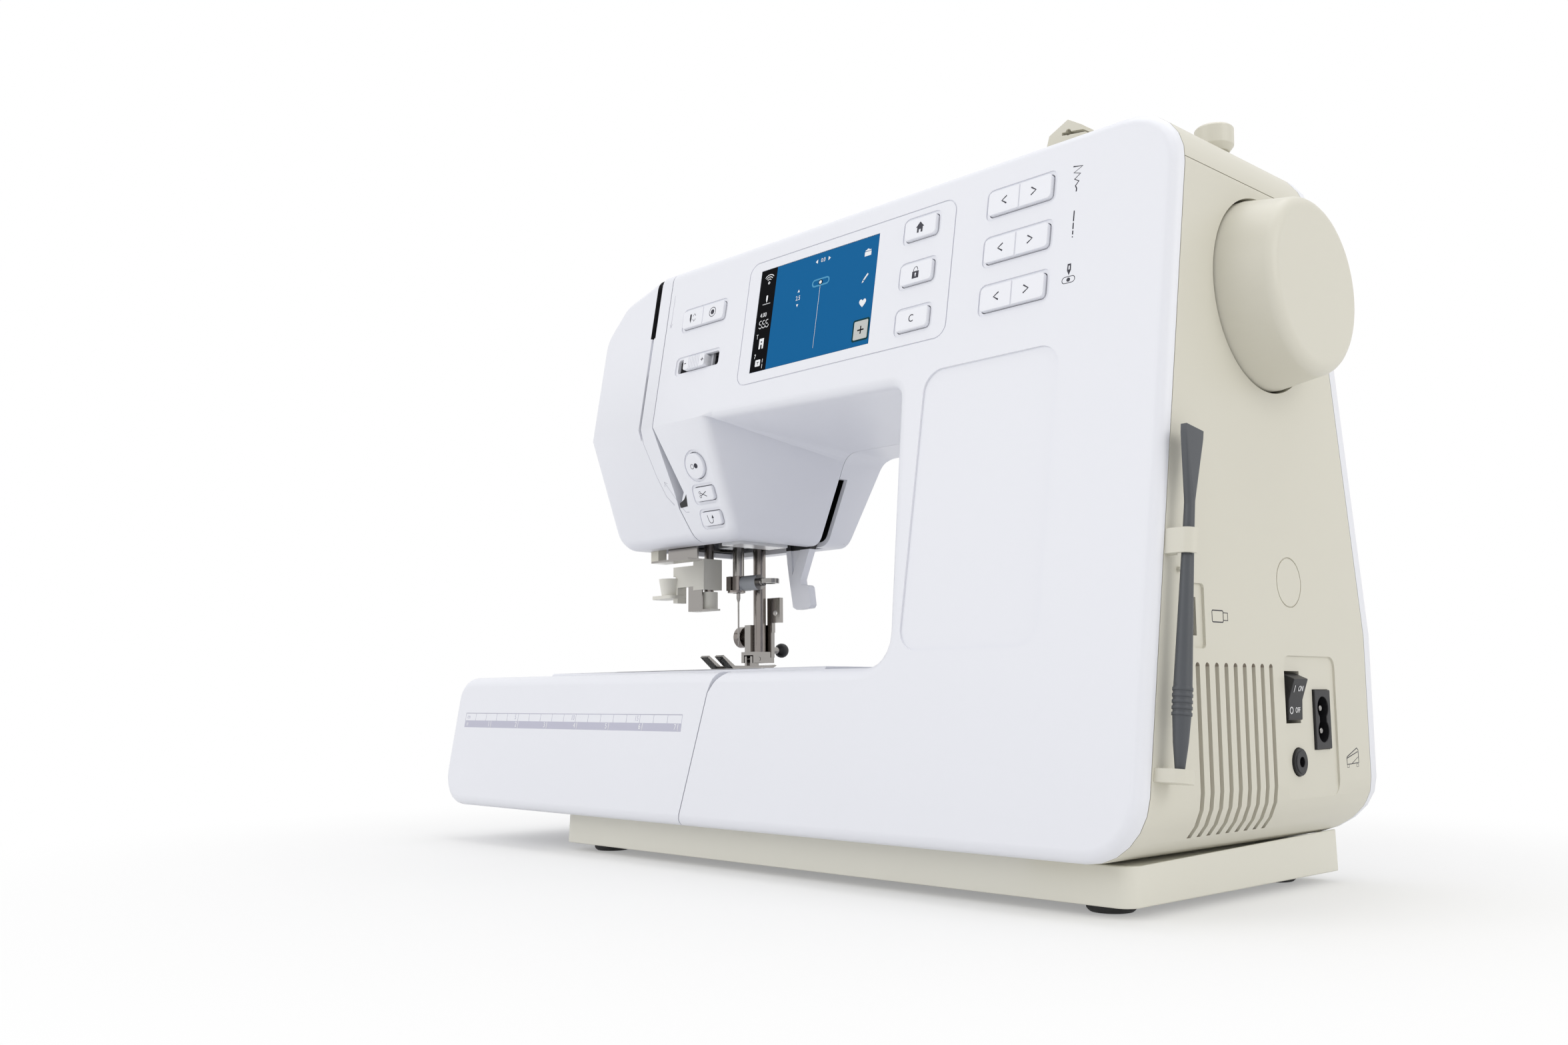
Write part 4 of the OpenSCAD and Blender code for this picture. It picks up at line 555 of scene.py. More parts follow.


# Parts of mouldings with a finish of their own, by place in millimetres; the vent slots, the lever
# in its slot and the channel wall get painted shade
NODE_ACCENTS: dict[str, Sequence[Accent]] = {
    # vent slots' walls and floors in painted shade
    "side_cover": ((VENT_SHADE, in_vent),),
    # pins
    "power_inlet": ((CHROME, lambda c, n: c.x < 199.4 and abs(c.y - PIN_Y) < PIN_REACH
                     and min(abs(c.z - z) for z in PIN_HEIGHTS) < PIN_REACH),),
    # nub that guides the thread to the face cover
    "thread_guides": ((CREAM, lambda c, n: -124.0 <= c.x <= -116.0 and -24.0 <= c.y <= -17.0
                       and 140.0 <= c.z <= 150.2),),
    # all but the power board's laminate
    "circuit_boards": ((DARK, lambda c, n: c.y < 47.9 or c.y > 49.7),),
    # what stands in the arm's slot, dark as painted shade
    "presser_lever": ((DARK, lambda c, n: c.z > LEVER_CUT[1]),),
    # wall of the thread channel, dark as painted shade in the groove
    "face_cover": ((DARK, lambda c, n: n.x > 0.8 and -95.9 < c.x < -95.0 and c.z > 250.0),),
    # release knob, and thumb screw
    "foot_shank": (
        (DARK, lambda c, n: (c - Vector((-95.0, 42.6, 97.0))).length < 4.3),
        (BAR, lambda c, n: c.x < -103.4),
    ),
    # rod, and hook plate
    "needle_threader": (
        (BAR, lambda c, n: math.hypot(c.x + 109.0, c.y - 4.0) < 2.7),
        (BRIGHT, lambda c, n: c.z < 130.1 and c.y < -0.9 and c.x > -118.2
         and (c.y > -2.7 or c.z < 118.0)),
    ),
    # screw's end with the wire loop, and the block on the needle bar
    "needle_clamp": ((CHROME, lambda c, n: c.x > -82.5), (BAR, lambda c, n: c.x < -91.0)),
}

NODE_SHAPE: dict[str, dict[str, object]] = {
    **{node: {"edge": 0.6, "segments": 3}
       for node, finish in NODE_FINISH.items() if finish is KEY_WHITE},
    "face_cover": {"cut": COVER_CUT},
    "feed_dog": {"clean": False, "edge": 0.0},
    "stylus": {"reshape": slim_pen},
    "stylus_clips": {"reshape": slim_clip},
    "base_plinth": {"corner": 6.0, "edge": 0.6, "cut": PLINTH_CUT, "reshape": raise_plinth},
    "presser_lever": {"edge": 0.6, "cut": LEVER_CUT},
    "needle_threader": {"edge": 0.7, "segments": 3},
    "screen_glass": {"edge": 0.1},
}


# ---- printed marks


def on_circle(x: float, y: float, radius: float, turn: float) -> Point:
    """Point on a circle at an angle in degrees."""
    angle = math.radians(turn)
    return x + radius * math.cos(angle), y + radius * math.sin(angle)


def rounded_box(x0: float, y0: float, x1: float, y1: float, radius: float = 0.0) -> list[Point]:
    """Outline of a rectangle, with round corners if a radius is given, anticlockwise."""
    if not radius:
        return [(x0, y0), (x1, y0), (x1, y1), (x0, y1)]
    left, right, low, high = x0 + radius, x1 - radius, y0 + radius, y1 - radius
    corners = ((right, high, 0.0), (left, high, 90.0), (left, low, 180.0), (right, low, 270.0))
    return [on_circle(x, y, radius, start + 90.0 * step / CORNER_PARTS)
            for x, y, start in corners for step in range(CORNER_PARTS + 1)]


@dataclass(frozen=True)
class Panel:
    """Flat place on the machine: its centre in millimetres, and the ways right and up on it."""

    centre: Point3
    right: Point3 = (1.0, 0.0, 0.0)
    up: Point3 = (0.0, 0.0, 1.0)

    @classmethod
    def leaning(cls, x: float, z: float, depth: float, lean: float, lift: float) -> Panel:
        """Place on a face that leans back by an angle.

        Args:
            x: Place along the machine.
            z: Height.
            depth: Depth of the face there.
            lean: Angle from upright, in degrees, positive where the top is further back.
            lift: Distance out of the face.

        Returns:
            The panel.
        """
        turn, rise = math.sin(math.radians(lean)), math.cos(math.radians(lean))
        return cls((x, depth - rise * lift, z + turn * lift), up=(0.0, turn, rise))

    @classmethod
    def face(cls, x: float, z: float, lift: float = 0.0) -> Panel:
        """Place on the leaning front face."""
        return cls.leaning(x, z, face_y(z), FACE_LEAN, lift)

    @classmethod
    def chin(cls, x: float, z: float, lift: float = 0.0) -> Panel:
        """Place on the chin below the crease."""
        return cls.leaning(x, z, chin_y(z), -CHIN_LEAN, lift)

    @classmethod
    def side(cls, y: float, z: float) -> Panel:
        """Place on the right-hand side."""
        return cls((SIDE_X, y, z), (0.0, 1.0, 0.0))

    def matrix(self) -> Matrix:
        """Turns millimetres right, up and out of the panel into metres in space."""
        right, up = Vector(self.right).normalized(), Vector(self.up).normalized()
        turn = Matrix((right, up, right.cross(up))).transposed().to_4x4()
        return Matrix.Translation(Vector(self.centre) * MM) @ turn @ Matrix.Scale(MM, 4)


@dataclass
class Print:
    """Raised ink on a panel, drawn in millimetres from its centre."""

    panel: Panel
    lines: list[tuple[Sequence[Point], float, bool]] = field(default_factory=list)
    areas: list[Sequence[Point]] = field(default_factory=list)
    words: list[tuple[str, Point, float, float]] = field(default_factory=list)
    relief: float = 0.05

    def line(self, points: Sequence[Point], width: float, closed: bool = False) -> Print:
        """Adds a stroke through points."""
        self.lines.append((points, width, closed))
        return self

    def ring(
        self, x: float, y: float, radius: float, width: float = 0.3,
        start: float = 0.0, stop: float = 360.0,
    ) -> Print:
        """Adds a circle or an arc of one.

        Args:
            x: Centre, to the right.
            y: Centre, upwards.
            radius: Radius of the stroke's middle.
            width: Width of the stroke.
            start: First angle in degrees.
            stop: Last angle in degrees.

        Returns:
            The print itself.
        """
        whole = stop - start >= 360.0
        count = RING_STEPS if whole else ARC_STEPS
        turns = [start + (stop - start) * i / count for i in range(count + (not whole))]
        return self.line([on_circle(x, y, radius, turn) for turn in turns], width, whole)

    def area(self, *points: Point) -> Print:
        """Adds a filled outline."""
        self.areas.append(points)
        return self

    def disc(self, x: float, y: float, radius: float) -> Print:
        """Adds a filled circle."""
        turns = [360.0 * i / DISC_STEPS for i in range(DISC_STEPS)]
        return self.area(*[on_circle(x, y, radius, turn) for turn in turns])

    def box(self, x0: float, y0: float, x1: float, y1: float, radius: float = 0.0) -> Print:
        """Adds a filled rectangle, with round corners if a radius is given."""
        return self.area(*rounded_box(x0, y0, x1, y1, radius))

    def word(self, text: str, x: float, y: float, size: float, squeeze: float = 0.85) -> Print:
        """Adds a figure or a plain word, centred at a place."""
        self.words.append((text, (x, y), size, squeeze))
        return self

    def build(self, name: str, finish: Finish = INK, body: str = "machine") -> None:
        """Makes one raised piece of the marks and dresses it.

        Args:
            name: Name of the piece.
            finish: Its ink.
            body: The body that it rides on.
        """
        parts = [self.stroke(name)] if self.lines else []
        parts += [self.fill(name)] if self.areas else []
        parts += [self.letter(*entry) for entry in self.words]
        place = self.panel.matrix()
        for part in parts:
            part.matrix_world = place @ part.matrix_world
            Bench.settle(part)
        piece = Bench.join(parts, name)
        bpy.ops.object.mode_set(mode="EDIT")
        bpy.ops.mesh.select_all(action="SELECT")
        bpy.ops.mesh.remove_doubles(threshold=PRINT_WELD)
        bpy.ops.mesh.normals_make_consistent(inside=False)
        bpy.ops.object.mode_set(mode="OBJECT")
        Bench.dress(piece, finish, body, PRINT_SLOT.get(finish, Slot.DISPLAY).value)

    def stroke(self, name: str) -> Thing:
        """Makes the strokes as flattened round lines."""
        data = bpy.data.curves.new(name, "CURVE")
        data.dimensions = "3D"
        data.bevel_depth, data.bevel_resolution = STROKE_RADIUS, 1
        data.use_fill_caps = True
        for points, width, closed in self.lines:
            self.spline(data, points, closed, width)
        part = Bench.put(name, data)
        part.matrix_world = Matrix.Diagonal((1.0, 1.0, self.relief * STROKE_RISE, 1.0))
        return self.to_mesh(part)

    def fill(self, name: str) -> Thing:
        """Makes the filled outlines as thin plates."""
        data = bpy.data.curves.new(name, "CURVE")
        data.dimensions = "2D"
        data.fill_mode = "BOTH"
        data.extrude = self.relief
        for points in self.areas:
            self.spline(data, points)
        return self.to_mesh(Bench.put(name, data))

    @staticmethod
    def spline(
        data: bpy.types.Curve, points: Sequence[Point], closed: bool = True, width: float = 1.0
    ) -> None:
        """Adds a run of straight lines of one width to a curve."""
        spline = data.splines.new("POLY")
        spline.points.add(len(points) - 1)
        spline.use_cyclic_u = closed
        for point, (x, y) in zip(spline.points, points):
            point.co = (x, y, 0.0, 1.0)
            point.radius = width

    def letter(self, text: str, place: Point, size: float, squeeze: float) -> Thing:
        """Makes a figure or a plain word as a thin plate."""
        Bench.clear()
        bpy.ops.object.text_add(location=(0.0, 0.0, 0.0))
        part = bpy.context.view_layer.objects.active
        part.data.body = text
        part.data.size = size
        part.data.extrude = self.relief
        part.data.align_x = part.data.align_y = "CENTER"
        narrow = Matrix.Diagonal((squeeze, 1.0, 1.0, 1.0))
        part.matrix_world = Matrix.Translation((*place, 0.0)) @ narrow
        return self.to_mesh(part)

    @staticmethod
    def to_mesh(part: Thing) -> Thing:
        """Turns a curve or text object into a mesh object."""
        Bench.pick(part)
        bpy.ops.object.convert(target="MESH")
        return bpy.context.view_layer.objects.active


@dataclass
class PinTips:
    """Bright rounded ends of the two pins in the mains inlet."""

    x0: float = 198.6
    x1: float = 201.3
    radius: float = 1.15
    rounding: float = 0.4
    sides: int = 20
    steps: int = 3
    angle: float = 40.0

    def build(self) -> None:
        """Makes the two ends as one piece."""
        tips = []
        for z in PIN_HEIGHTS:
            Bench.clear()
            bpy.ops.mesh.primitive_cylinder_add(
                vertices=self.sides, radius=self.radius * MM, depth=(self.x1 - self.x0) * MM,
                rotation=(0.0, math.pi / 2, 0.0),
                location=((self.x0 + self.x1) / 2 * MM, PIN_Y * MM, z * MM))
            tip = bpy.context.view_layer.objects.active
            Bench.settle(tip)
            Bench.bevel(tip, self.rounding * MM, self.steps, self.angle)
            tips.append(tip)
        Bench.dress(Bench.join(tips, "inlet_pin_tips"), CHROME, "machine", Slot.STEEL.value)


# ---- display


@dataclass
class Display:
    """Picture on the touch display, as thin plates on its glass."""

    x: float = 21.5
    z: float = 243.7
    width: float = 74.0
    height: float = 50.0
    strip: float = 10.5
    depth: float = -0.1

    def build(self) -> None:
        """Builds the picture's parts."""
        self.strip_marks()
        self.stitch_preview()
        self.tool_column()
        self.plus_key()

    def sheet(self, lift: float = 0.0) -> Print:
        """Starts a print on the glass, lifted by a distance."""
        return Print(Panel.face(self.x, self.z, self.depth + lift), relief=0.03)

    def strip_marks(self) -> None:
        """Black strip along the left edge, with arcs, needle, thread, foot and plate in white."""
        half_w, half_h = self.width / 2, self.height / 2
        plate = self.sheet().box(-half_w, -half_h, -half_w + self.strip, half_h)
        plate.build("display_strip", PANEL_BLACK)
        marks = self.sheet(0.04)
        for radius in (1.5, 2.6, 3.7):
            marks.ring(-31.3, 18.6, radius, 0.42, 40.0, 140.0)
        marks.ring(-31.3, 18.2, 0.5, 0.4)
        marks.box(-31.9, 9.4, -30.9, 12.0, 0.3).area((-31.8, 9.3), (-31.0, 9.3), (-31.4, 8.4))
        marks.line([(-33.9, 7.8), (-28.8, 7.8)], 0.3)
        marks.word("4.00", -32.4, 2.4, 2.9)
        for x in (-33.6, -31.4, -29.2):
            marks.ring(x, -1.2, 0.95, 0.35, 60.0, 300.0).ring(x, -3.0, 0.95, 0.35, 200.0, 380.0)
        marks.line([(-35.3, -6.9), (-34.0, -6.9)], 0.25).line([(-34.6, -6.9), (-34.6, -9.0)], 0.25)
        marks.area((-32.9, -9.2), (-29.9, -9.2), (-29.9, -14.2), (-30.9, -14.2),
                   (-30.9, -12.2), (-31.9, -12.2), (-31.9, -14.2), (-32.9, -14.2))
        marks.word("7", -34.6, -17.6, 2.9)
        marks.box(-33.9, -22.6, -30.6, -19.4, 0.4)
        marks.line([(-29.2, -19.4), (-29.2, -21.2)], 0.35)
        marks.line([(-29.1, -21.9), (-29.1, -24.0)], 0.35)
        marks.build("display_marks", PANEL_WHITE)
        hole = self.sheet(0.08).box(-31.8, -11.2, -30.9, -10.6)
        hole.line([(-33.0, -20.6), (-31.4, -20.6)], 0.3).line([(-32.2, -20.6), (-32.2, -22.0)], 0.3)
        hole.build("display_mark_holes", PANEL_BLACK)

    def stitch_preview(self) -> None:
        """Straight stitch: needle place in a pale slot, the stitch line, and its two values."""
        slot = self.sheet(0.02)
        slot.line(rounded_box(-1.6, 9.1, 8.6, 12.1, 1.45), 0.85, True)
        slot.build("display_slot", PANEL_PALE)
        lines = self.sheet(0.05)
        lines.line([(3.4, 9.2), (3.35, -20.6)], 0.22)
        lines.area((-1.2, 21.1), (0.2, 22.1), (0.2, 20.1))
        lines.area((8.2, 21.1), (6.8, 20.1), (6.8, 22.1))
        lines.word("0.0", 3.5, 21.1, 2.8, 0.8).word("2.5", -10.2, 5.8, 3.0, 0.8)
        lines.area((-10.9, 8.7), (-9.5, 8.7), (-10.2, 10.0))
        lines.area((-10.9, 2.9), (-10.2, 1.6), (-9.5, 2.9))
        lines.build("display_lines", PANEL_WHITE)
        for name, finish, lift, radius in (
            ("display_ring", PANEL_BLACK, 0.06, 1.25), ("display_dot", PANEL_WHITE, 0.1, 0.8)
        ):
            self.sheet(lift).disc(3.4, 10.5, radius).build(name, finish)

    def tool_column(self) -> None:
        """Folder, pencil and heart down the right-hand side."""
        marks = self.sheet(0.04)
        marks.area((29.3, 16.2), (33.1, 16.2), (33.1, 18.2), (29.3, 18.2))
        marks.area((29.6, 18.5), (32.9, 18.5), (32.9, 19.0), (31.9, 19.0), (31.5, 19.5),
                   (30.7, 19.5), (30.3, 19.0), (29.6, 19.0))
        marks.line([(30.2, 5.1), (32.6, 7.7)], 0.95).area((29.3, 3.9), (30.5, 4.4), (29.7, 5.1))
        heart = [
            (0.0, -1.9), (1.5, -0.4), (2.0, 0.5), (1.9, 1.3), (1.4, 1.8), (0.7, 1.8), (0.0, 1.1)]
        mirrored = [(-x, y) for x, y in reversed(heart[1:-1])]
        marks.area(*[(31.1 + x, -5.6 + y) for x, y in heart + mirrored])
        marks.build("display_tools", PANEL_WHITE)

    def plus_key(self) -> None:
        """Pale key with a dark edge and a plus."""
        edge = self.sheet(0.01).box(26.9, -22.9, 36.5, -12.9, 1.0)
        edge.build("display_key_edge", PANEL_TEAL)
        key = self.sheet(0.05).box(27.7, -22.1, 35.7, -13.7, 0.6)
        key.build("display_key", PANEL_KEY)
        plus = self.sheet(0.09).line([(29.9, -17.9), (33.5, -17.9)], 0.65)
        plus.line([(31.7, -19.7), (31.7, -16.1)], 0.65)
        plus.build("display_plus", PANEL_BLACK)


# ---- marks on keys and casing


@dataclass
class KeyMarks:
    """Marks on the keys, which ride on them."""

    single_x: float = 82.8
    pair_x: float = 133.4
    rows: tuple[float, float, float] = (264.4, 244.5, 224.4)
    proud: float = 1.3

    def build(self) -> None:
        """Builds the marks of every key."""
        self.singles()
        self.pairs()
        self.needle_key()
        self.slider()
        self.chin_keys()

    def cap(self, x: float, z: float) -> Print:
        """Starts a print on the cap of a key of the front face."""
        return Print(Panel.face(x, z, self.proud))

    def singles(self) -> None:
        """House, padlock and clear mark."""
        x, (top, middle, low) = self.single_x, self.rows
        house = self.cap(x, top)
        house.area((-2.2, 0.1), (0.0, 2.5), (2.2, 0.1), (1.5, 0.1), (1.5, -2.3), (0.55, -2.3),
                   (0.55, -0.9), (-0.55, -0.9), (-0.55, -2.3), (-1.5, -2.3), (-1.5, 0.1))
        house.build("home_mark", body="home_key")
        lock = self.cap(x, middle)
        lock.box(-1.75, -2.6, 1.75, 0.5, 0.15).area(
            (-0.25, -1.9), (-0.25, -1.1), (-0.5, -0.7), (-0.25, -0.2), (0.25, -0.2), (0.5, -0.7),
            (0.25, -1.1), (0.25, -1.9))
        lock.line([(-1.1, 0.5), (-1.1, 1.3), (-0.8, 2.1), (0.0, 2.5), (0.8, 2.1), (1.1, 1.3),
                   (1.1, 0.9)], 0.32)
        lock.build("lock_mark", body="lock_key")
        self.cap(x, low).word("C", 0.0, 0.0, 4.6).build("clear_mark", body="clear_key")

    def pairs(self) -> None:
        """Left and right arrow heads on the three pair keys."""
        for name, z in zip(("width", "length", "position"), self.rows):
            mark = self.cap(self.pair_x, z)
            for x, way in ((-7.2, 1.15), (6.9, -1.15)):
                mark.line([(x + way, 1.6), (x - way, 0.0), (x + way, -1.6)], 0.62)
            mark.build(name + "_marks", body=name + "_key")

    def needle_key(self) -> None:
        """Needle with up and down arrow heads, and a ring round a dot."""
        mark = self.cap(-54.3, 255.0)
        mark.area((-9.6, -0.6), (-8.9, -2.4), (-8.4, -0.6), (-8.4, 2.1), (-9.6, 2.1))
        for way in (1.0, -1.0):
            mark.line([(-7.3, 0.8 * way), (-6.3, 2.0 * way), (-5.3, 0.8 * way)], 0.32)
        mark.ring(7.3, 0.0, 2.3, 0.35).disc(7.3, 0.0, 1.25)
        mark.build("needle_key_marks", body="needle_key")

    def slider(self) -> None:
        """Minus and plus at the ends of the speed slider."""
        mark = Print(Panel.face(-56.0, 231.7, 1.6))
        mark.line([(-6.9, 0.0), (-5.6, 0.0)], 0.45)
        mark.line([(5.4, 0.0), (7.2, 0.0)], 0.42).line([(6.3, 0.9), (6.3, -0.9)], 0.42)
        mark.build("speed_marks", body="speed_slider")

    def chin_keys(self) -> None:
        """Start dots, scissors and the turning arrow."""
        start = Print(Panel.chin(-59.4, 182.3, 1.1))
        start.ring(-1.5, 0.0, 1.1, 0.28).disc(1.2, 0.1, 1.25)
        start.build("start_marks", body="start_key")
        cut = Print(Panel.chin(-58.2, 169.2, 1.2))
        for way in (1.0, -1.0):
            cut.ring(-2.1, 0.95 * way, 0.6, 0.28)
            cut.line([(-1.6, 0.65 * way), (2.4, -1.2 * way)], 0.36)
        cut.build("cut_marks", body="cut_key")
        back = Print(Panel.chin(-57.4, 157.6, 1.2))
        bend = [math.radians(185.0 + 16.0 * step) for step in range(11)]
        hook = [(0.05 + 1.6 * math.cos(turn), -0.4 + 1.7 * math.sin(turn)) for turn in bend]
        back.line([(-1.9, 2.0), (-1.7, -0.2), *hook, (1.6, 0.9)], 0.34)
        back.area((1.6, 1.9), (0.8, 0.3), (2.4, 0.3))
        back.build("reverse_marks", body="reverse_key")


@dataclass
class CasingMarks:
    """Printed guides on the casing and the rule on the accessory box."""

    icon_x: float = 159.3
    rule_x0: float = -210.6
    rule_top: float = 65.0
    rule_low: float = 57.7
    centimetres: int = 18
    inches: int = 7
    beside_centimetre: float = 2.4
    beside_inch: float = 2.0

    def build(self) -> None:
        """Builds all the prints that stay with the casing."""
        self.stitch_marks()
        self.thread_arrows()
        self.inner_sheets()
        self.rule()
        self.side_marks()
        self.switch_words()

    def stitch_marks(self) -> None:
        """Zigzag, stitch length and needle place beside the pair keys."""
        zigzag = Print(Panel.face(self.icon_x, 264.4))
        zigzag.line([(-2.0, 5.4), (2.2, 4.6), (-1.6, 2.7), (1.4, 1.7), (-1.1, -0.1), (0.9, -1.3),
                     (-0.5, -2.9), (0.1, -4.2), (0.0, -5.4)], 0.55)
        zigzag.build("width_icon")
        dashes = Print(Panel.face(self.icon_x - 0.2, 246.0))
        for high, low in ((5.4, 1.2), (0.5, -2.0), (-2.7, -4.2), (-5.0, -5.4)):
            dashes.line([(0.0, high), (0.0, low)], 0.55)
        dashes.build("length_icon")
        needle = Print(Panel.face(self.icon_x - 0.6, 226.2))
        needle.line(rounded_box(-2.8, -3.4, 2.8, -0.9, 1.2), 0.3, True).disc(0.0, -2.15, 0.8)
        needle.area((-0.75, 4.2), (-0.85, 1.6), (0.0, -0.3), (0.85, 1.6), (0.75, 4.2))
        needle.area((-0.3, 3.5), (-0.3, 1.9), (0.3, 1.9), (0.3, 3.5))
        needle.build("needle_icon")

    def thread_arrows(self) -> None:
        """Fine arrows beside the thread path: down by the channel and up on the face cover, the
        channel's seam, and painted shade in the gap at its lower end.
        """
        for name, panel, width, *strokes in (
            ("thread_down", Panel.face(-80.0, 262.0), 0.3, [(0.0, 9.0), (0.0, -8.0)],
             [(-1.0, -6.2), (0.0, -8.2), (1.0, -6.2)]),
            ("thread_up", Panel.chin(-81.0, 170.0), 0.3,
             [(8.0, -8.5), (5.6, -8.3), (3.0, -5.0), (-4.5, 8.0)],
             [(-4.7, 5.8), (-4.6, 8.2), (-2.6, 7.0)]),
            ("channel_seam", Panel.chin(0.0, 180.0), 0.35,
             [(-93.3, 21.5), (-93.3, 17.3), (-91.7, 9.6), (-90.1, 0.9), (-86.7, -9.8),
              (-82.5, -14.6)]),
        ):
            mark = Print(panel)
            for stroke in strokes:
                mark.line(stroke, width)
            mark.build(name, INK_PALE)
        # painted shade: a dark sheet over the gap at the channel's lower end
        gap = Print(Panel.chin(0.0, 180.0, 0.02))
        gap.area((-71.8, -10.3), (-74.2, -12.6), (-78.4, -14.3), (-78.2, -16.6), (-73.0, -16.2))
        gap.build("channel_gap_shade", DARK)

    def inner_sheets(self) -> None:
        """Dark sheet of painted shade behind the slot of the presser lever, and wall under the
        arm's rear end.
        """
        # painted shade: dark sheet seen through the lever's slot
        sheet = Print(Panel((-53.0, 42.0, 170.0), up=(0.0, 0.164, 0.986)), relief=0.1)
        sheet.box(-9.0, -21.0, 9.0, 20.0).build("lever_slot_shade", DARK)
        wall = Print(Panel((74.5, 60.0, 195.0), right=(0.0, -1.0, 0.0)), relief=0.4)
        wall.area((10.0, -3.4), (-4.6, 18.4), (-5.2, 18.4), (-7.4, 4.5), (-8.6, -3.4))
        wall.build("rear_corner_wall", WHITE)

    def rule(self) -> None:
        """Rule with centimetres above inches, on the front of the accessory box."""
        middle = (self.rule_top + self.rule_low) / 2
        half = (self.rule_top - self.rule_low) / 2 / math.cos(math.radians(FACE_LEAN))
        length = CENTIMETRE * self.centimetres
        sheet = Panel.face(self.rule_x0, middle)
        grey = Print(sheet, relief=0.03)
        grey.line([(0.0, half), (length, half)], 0.36).line([(length, half), (length, -half)], 0.3)
        for tick in range(self.centimetres):
            grey.line([(CENTIMETRE * tick, half), (CENTIMETRE * tick, -0.1)], 0.3)
        for number in (5, 10, 15):
            grey.word(str(number), CENTIMETRE * number - self.beside_centimetre, half / 2, 3.4)
        grey.word("cm", 3.0, half / 2, 3.0, 0.8)
        grey.build("rule_lines", INK_RULE, "accessory_box")
        band = Print(sheet, relief=0.02).box(0.0, -half, length, -0.1)
        band.build("rule_band", INK_RULE, "accessory_box")
        white = Print(Panel.face(self.rule_x0, middle, 0.02), relief=0.03)
        for number in range(1, self.inches + 1):
            white.line([(INCH * number, -0.25), (INCH * number, -half + 0.1)], 0.4)
            white.word(str(number), INCH * number - self.beside_inch, -half / 2, 3.6)
        white.word("in", 2.6, -half / 2, 3.2, 0.8)
        white.build("rule_figures", INK_WHITE, "accessory_box")

    def side_marks(self) -> None:
        """Foot control and memory stick outlines beside their sockets."""
        pedal = Print(Panel.side(65.4, 47.6))
        pedal.line([(-5.0, 0.2), (-4.7, 0.9), (3.7, 4.0), (4.9, 3.3), (5.0, -1.6), (-4.8, -2.0)],
                   0.42, True)
        pedal.line([(-4.7, 0.4), (4.4, 2.6)], 0.36).line([(4.7, 0.6), (-0.8, -1.8)], 0.25)
        for x in (-4.0, 3.9):
            pedal.line(rounded_box(x - 0.8, -3.1, x + 0.8, -2.0), 0.24, True)
        pedal.build("pedal_icon")
        stick = Print(Panel.side(-29.8, 99.2))
        stick.line(rounded_box(-5.0, -2.0, 2.4, 2.0, 0.6), 0.42, True)
        stick.line(rounded_box(2.4, -1.3, 5.4, 1.3), 0.42, True)
        stick.build("stick_icon")

    def switch_words(self) -> None:
        """Plain ON and OFF marks on the switch."""
        high = Panel((204.0, 21.0, 74.4), (0.0, 1.0, 0.0), (0.3125, 0.0, 0.95))
        on = Print(high, relief=0.04)
        on.line([(-3.4, -1.3), (-3.4, 1.3)], 0.4).word("ON", 1.2, 0.0, 3.0, 0.8)
        on.build("switch_on", INK_WHITE, "power_rocker")
        low = Panel((202.36, 21.0, 66.6), (0.0, 1.0, 0.0), (0.041, 0.0, 0.999))
        off = Print(low, relief=0.04)
        off.ring(-3.3, 0.0, 1.15, 0.4).word("OFF", 1.5, 0.0, 2.8, 0.75)
        off.build("switch_off", INK_WHITE, "power_rocker")


# ---- stage


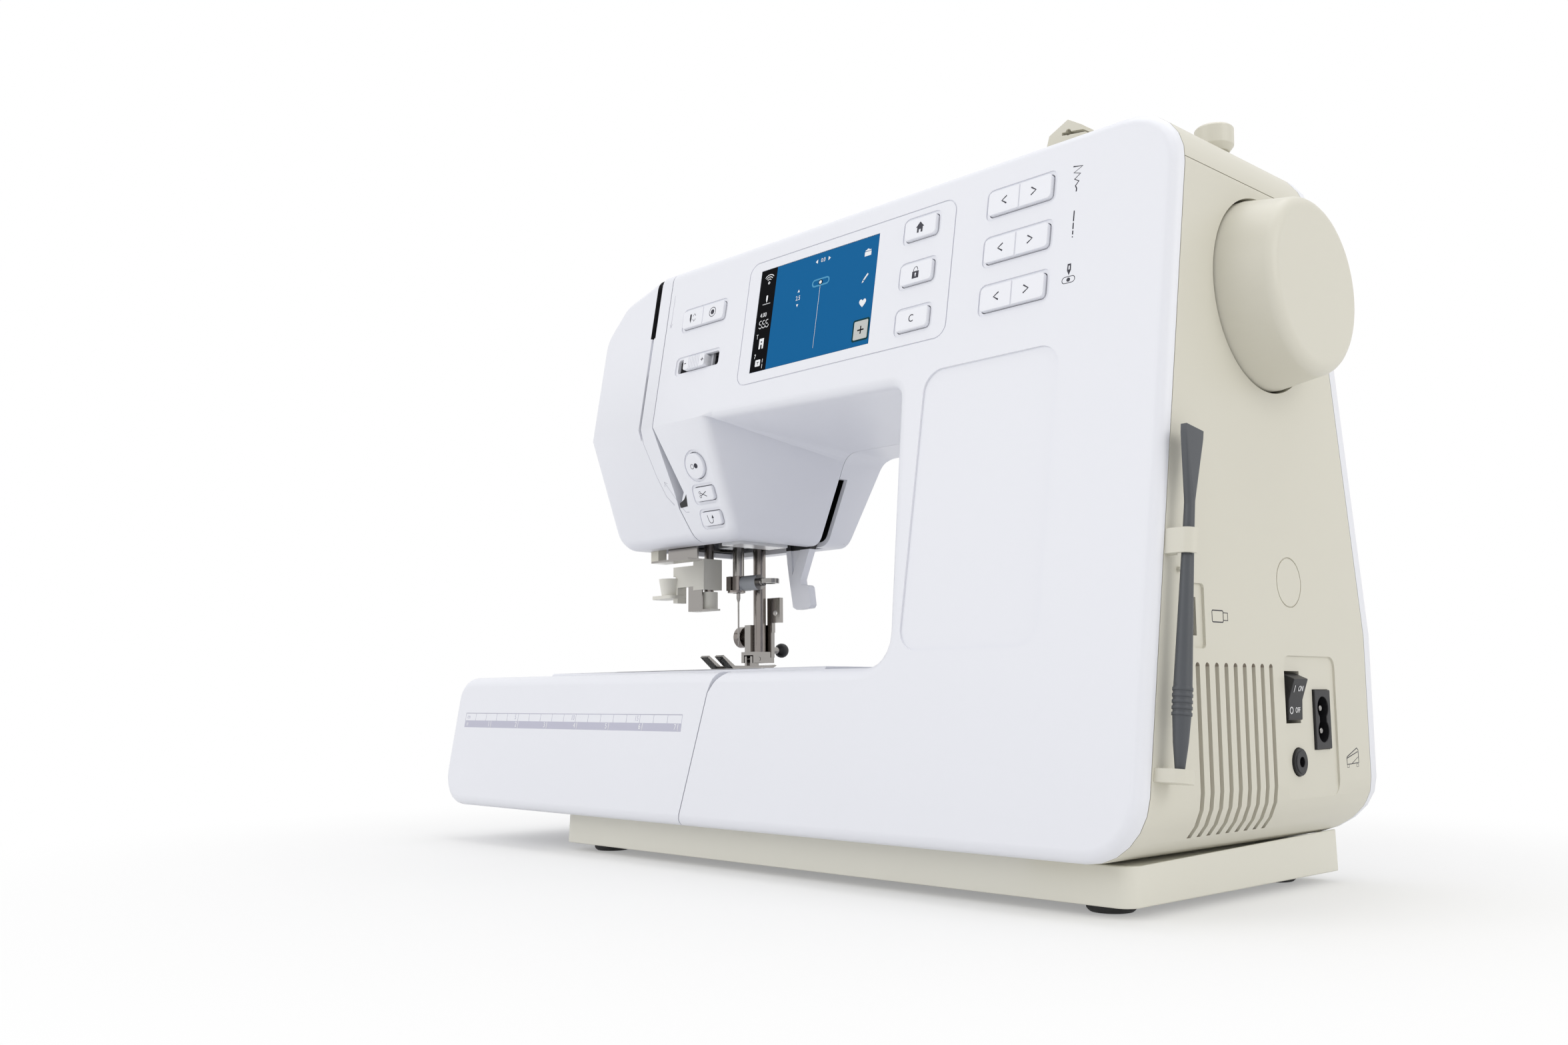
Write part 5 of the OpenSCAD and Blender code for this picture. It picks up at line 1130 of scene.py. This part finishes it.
@dataclass
class Stage:
    """Floor, soft lamps and the camera."""

    LAMPS = (
        ("key_light", (-0.75, -1.7, 1.25), (0.0, 0.0, 0.15), 1.5, 11.2, (1.0, 1.0, 1.0)),
        ("side_light", (1.9, 0.15, 0.9), (0.1, 0.0, 0.15), 1.2, 8.5, (1.0, 0.985, 0.94)),
        ("top_light", (0.1, 0.2, 1.9), (0.0, 0.0, 0.2), 1.6, 10.5, (1.0, 1.0, 1.0)),
    )

    place: Point3 = (0.4516, -0.4721, 0.0723)
    yaw: float = 46.594
    pitch: float = 7.085
    roll: float = -0.317
    lens: float = 32.33
    sensor: float = 36.0
    near: float = 0.01
    world_light: float = 0.66
    floor_size: float = 12.0
    floor_drop: float = 0.0002
    floor_shade: float = 0.86
    fade_from: float = 0.16
    fade_to: float = 0.44
    least_glow: float = 0.3

    def build(self) -> None:
        """Makes the camera, the lamps, the world and the floor."""
        self.camera()
        self.floor()
        self.world()
        self.lamps()

    def camera(self) -> None:
        """Places the camera by its yaw, pitch and roll."""
        yaw, pitch, roll = (math.radians(v) for v in (self.yaw, self.pitch, self.roll))
        data = bpy.data.cameras.new("camera")
        data.lens, data.sensor_width, data.clip_start = self.lens, self.sensor, self.near
        camera = Bench.put("camera", data)
        camera.matrix_world = (
            Matrix.Translation(self.place) @ Matrix.Rotation(yaw, 4, "Z")
            @ Matrix.Rotation(math.pi / 2 + pitch, 4, "X") @ Matrix.Rotation(roll, 4, "Z"))
        bpy.context.scene.camera = camera

    def lamps(self) -> None:
        """Adds the square soft lamps, from each one's place, aim, side, power and tint."""
        for name, place, aim, size, watts, tint in self.LAMPS:
            data = bpy.data.lights.new(name, "AREA")
            data.size, data.energy, data.color = size, watts, tint
            lamp = Bench.put(name, data)
            lamp.location = place
            way = Vector(aim) - Vector(place)
            lamp.rotation_euler = way.to_track_quat("-Z", "Y").to_euler()

    @staticmethod
    def seen(wires: Wires) -> Socket:
        """Value that is 1 for rays that the viewer sees, directly or in metal and glass."""
        path = wires.add("ShaderNodeLightPath").outputs
        total = path["Is Camera Ray"]
        for name in ("Is Glossy Ray", "Is Transmission Ray"):
            both = {0: total, 1: path[name]}
            add = wires.add("ShaderNodeMath", both, operation="ADD", use_clamp=True)
            total = add.outputs[0]
        return total

    def world(self) -> None:
        """White where it is seen, and a softer even light on the object."""
        world = bpy.context.scene.world or bpy.data.worlds.new("world")
        bpy.context.scene.world = world
        world.use_nodes = True
        wires = Wires(world.node_tree)
        background = world.node_tree.nodes["Background"].inputs
        background["Color"].default_value = (1.0, 1.0, 1.0, 1.0)
        strength = wires.add(
            "ShaderNodeMapRange", {"Value": self.seen(wires), "To Min": self.world_light})
        wires.feed(background["Strength"], strength.outputs["Result"])

    def floor(self) -> None:
        """White floor that keeps the object's soft shadow."""
        Bench.clear()
        bpy.ops.mesh.primitive_plane_add(
            size=self.floor_size, location=(0.0, 0.0, -self.floor_drop))
        floor = bpy.context.view_layer.objects.active
        floor.name = "floor"
        made = bpy.data.materials.new("floor")
        made.use_nodes = True
        nodes = made.node_tree.nodes
        nodes.remove(nodes["Principled BSDF"])
        wires = Wires(made.node_tree)
        matt = wires.add("ShaderNodeBsdfDiffuse", {"Color": (*[self.floor_shade] * 3, 1.0)})
        glow = wires.add("ShaderNodeEmission", {"Color": (1.0, 1.0, 1.0, 1.0)})
        place = wires.add("ShaderNodeTexCoord").outputs["Object"]
        length = wires.add("ShaderNodeVectorMath", {0: place}, operation="LENGTH")
        fade = wires.add("ShaderNodeMapRange", {
            "Value": length.outputs["Value"], "From Min": self.fade_from,
            "From Max": self.fade_to, "To Min": self.least_glow,
        }, interpolation_type="SMOOTHSTEP")
        share = wires.maths("MULTIPLY", fade.outputs["Result"], self.seen(wires))
        mix = wires.add("ShaderNodeMixShader", {
            "Fac": share, 1: matt.outputs["BSDF"], 2: glow.outputs["Emission"]})
        wires.feed(nodes["Material Output"].inputs["Surface"], mix.outputs["Shader"])
        floor.data.materials.append(made)


def main() -> None:
    """Builds the stage and every piece in order."""
    logging.basicConfig(level=logging.INFO, format="%(name)s: %(message)s")
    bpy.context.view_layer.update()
    bpy.context.scene.view_settings.view_transform = "Standard"
    Stage().build()
    for node in frame["nodes"]:
        Moulding(node, accents=NODE_ACCENTS.get(node, ()), **NODE_SHAPE.get(node, {})).build()
    for maker in (PinTips, Display, KeyMarks, CasingMarks):
        maker().build()


if __name__ == "__main__":
    main()
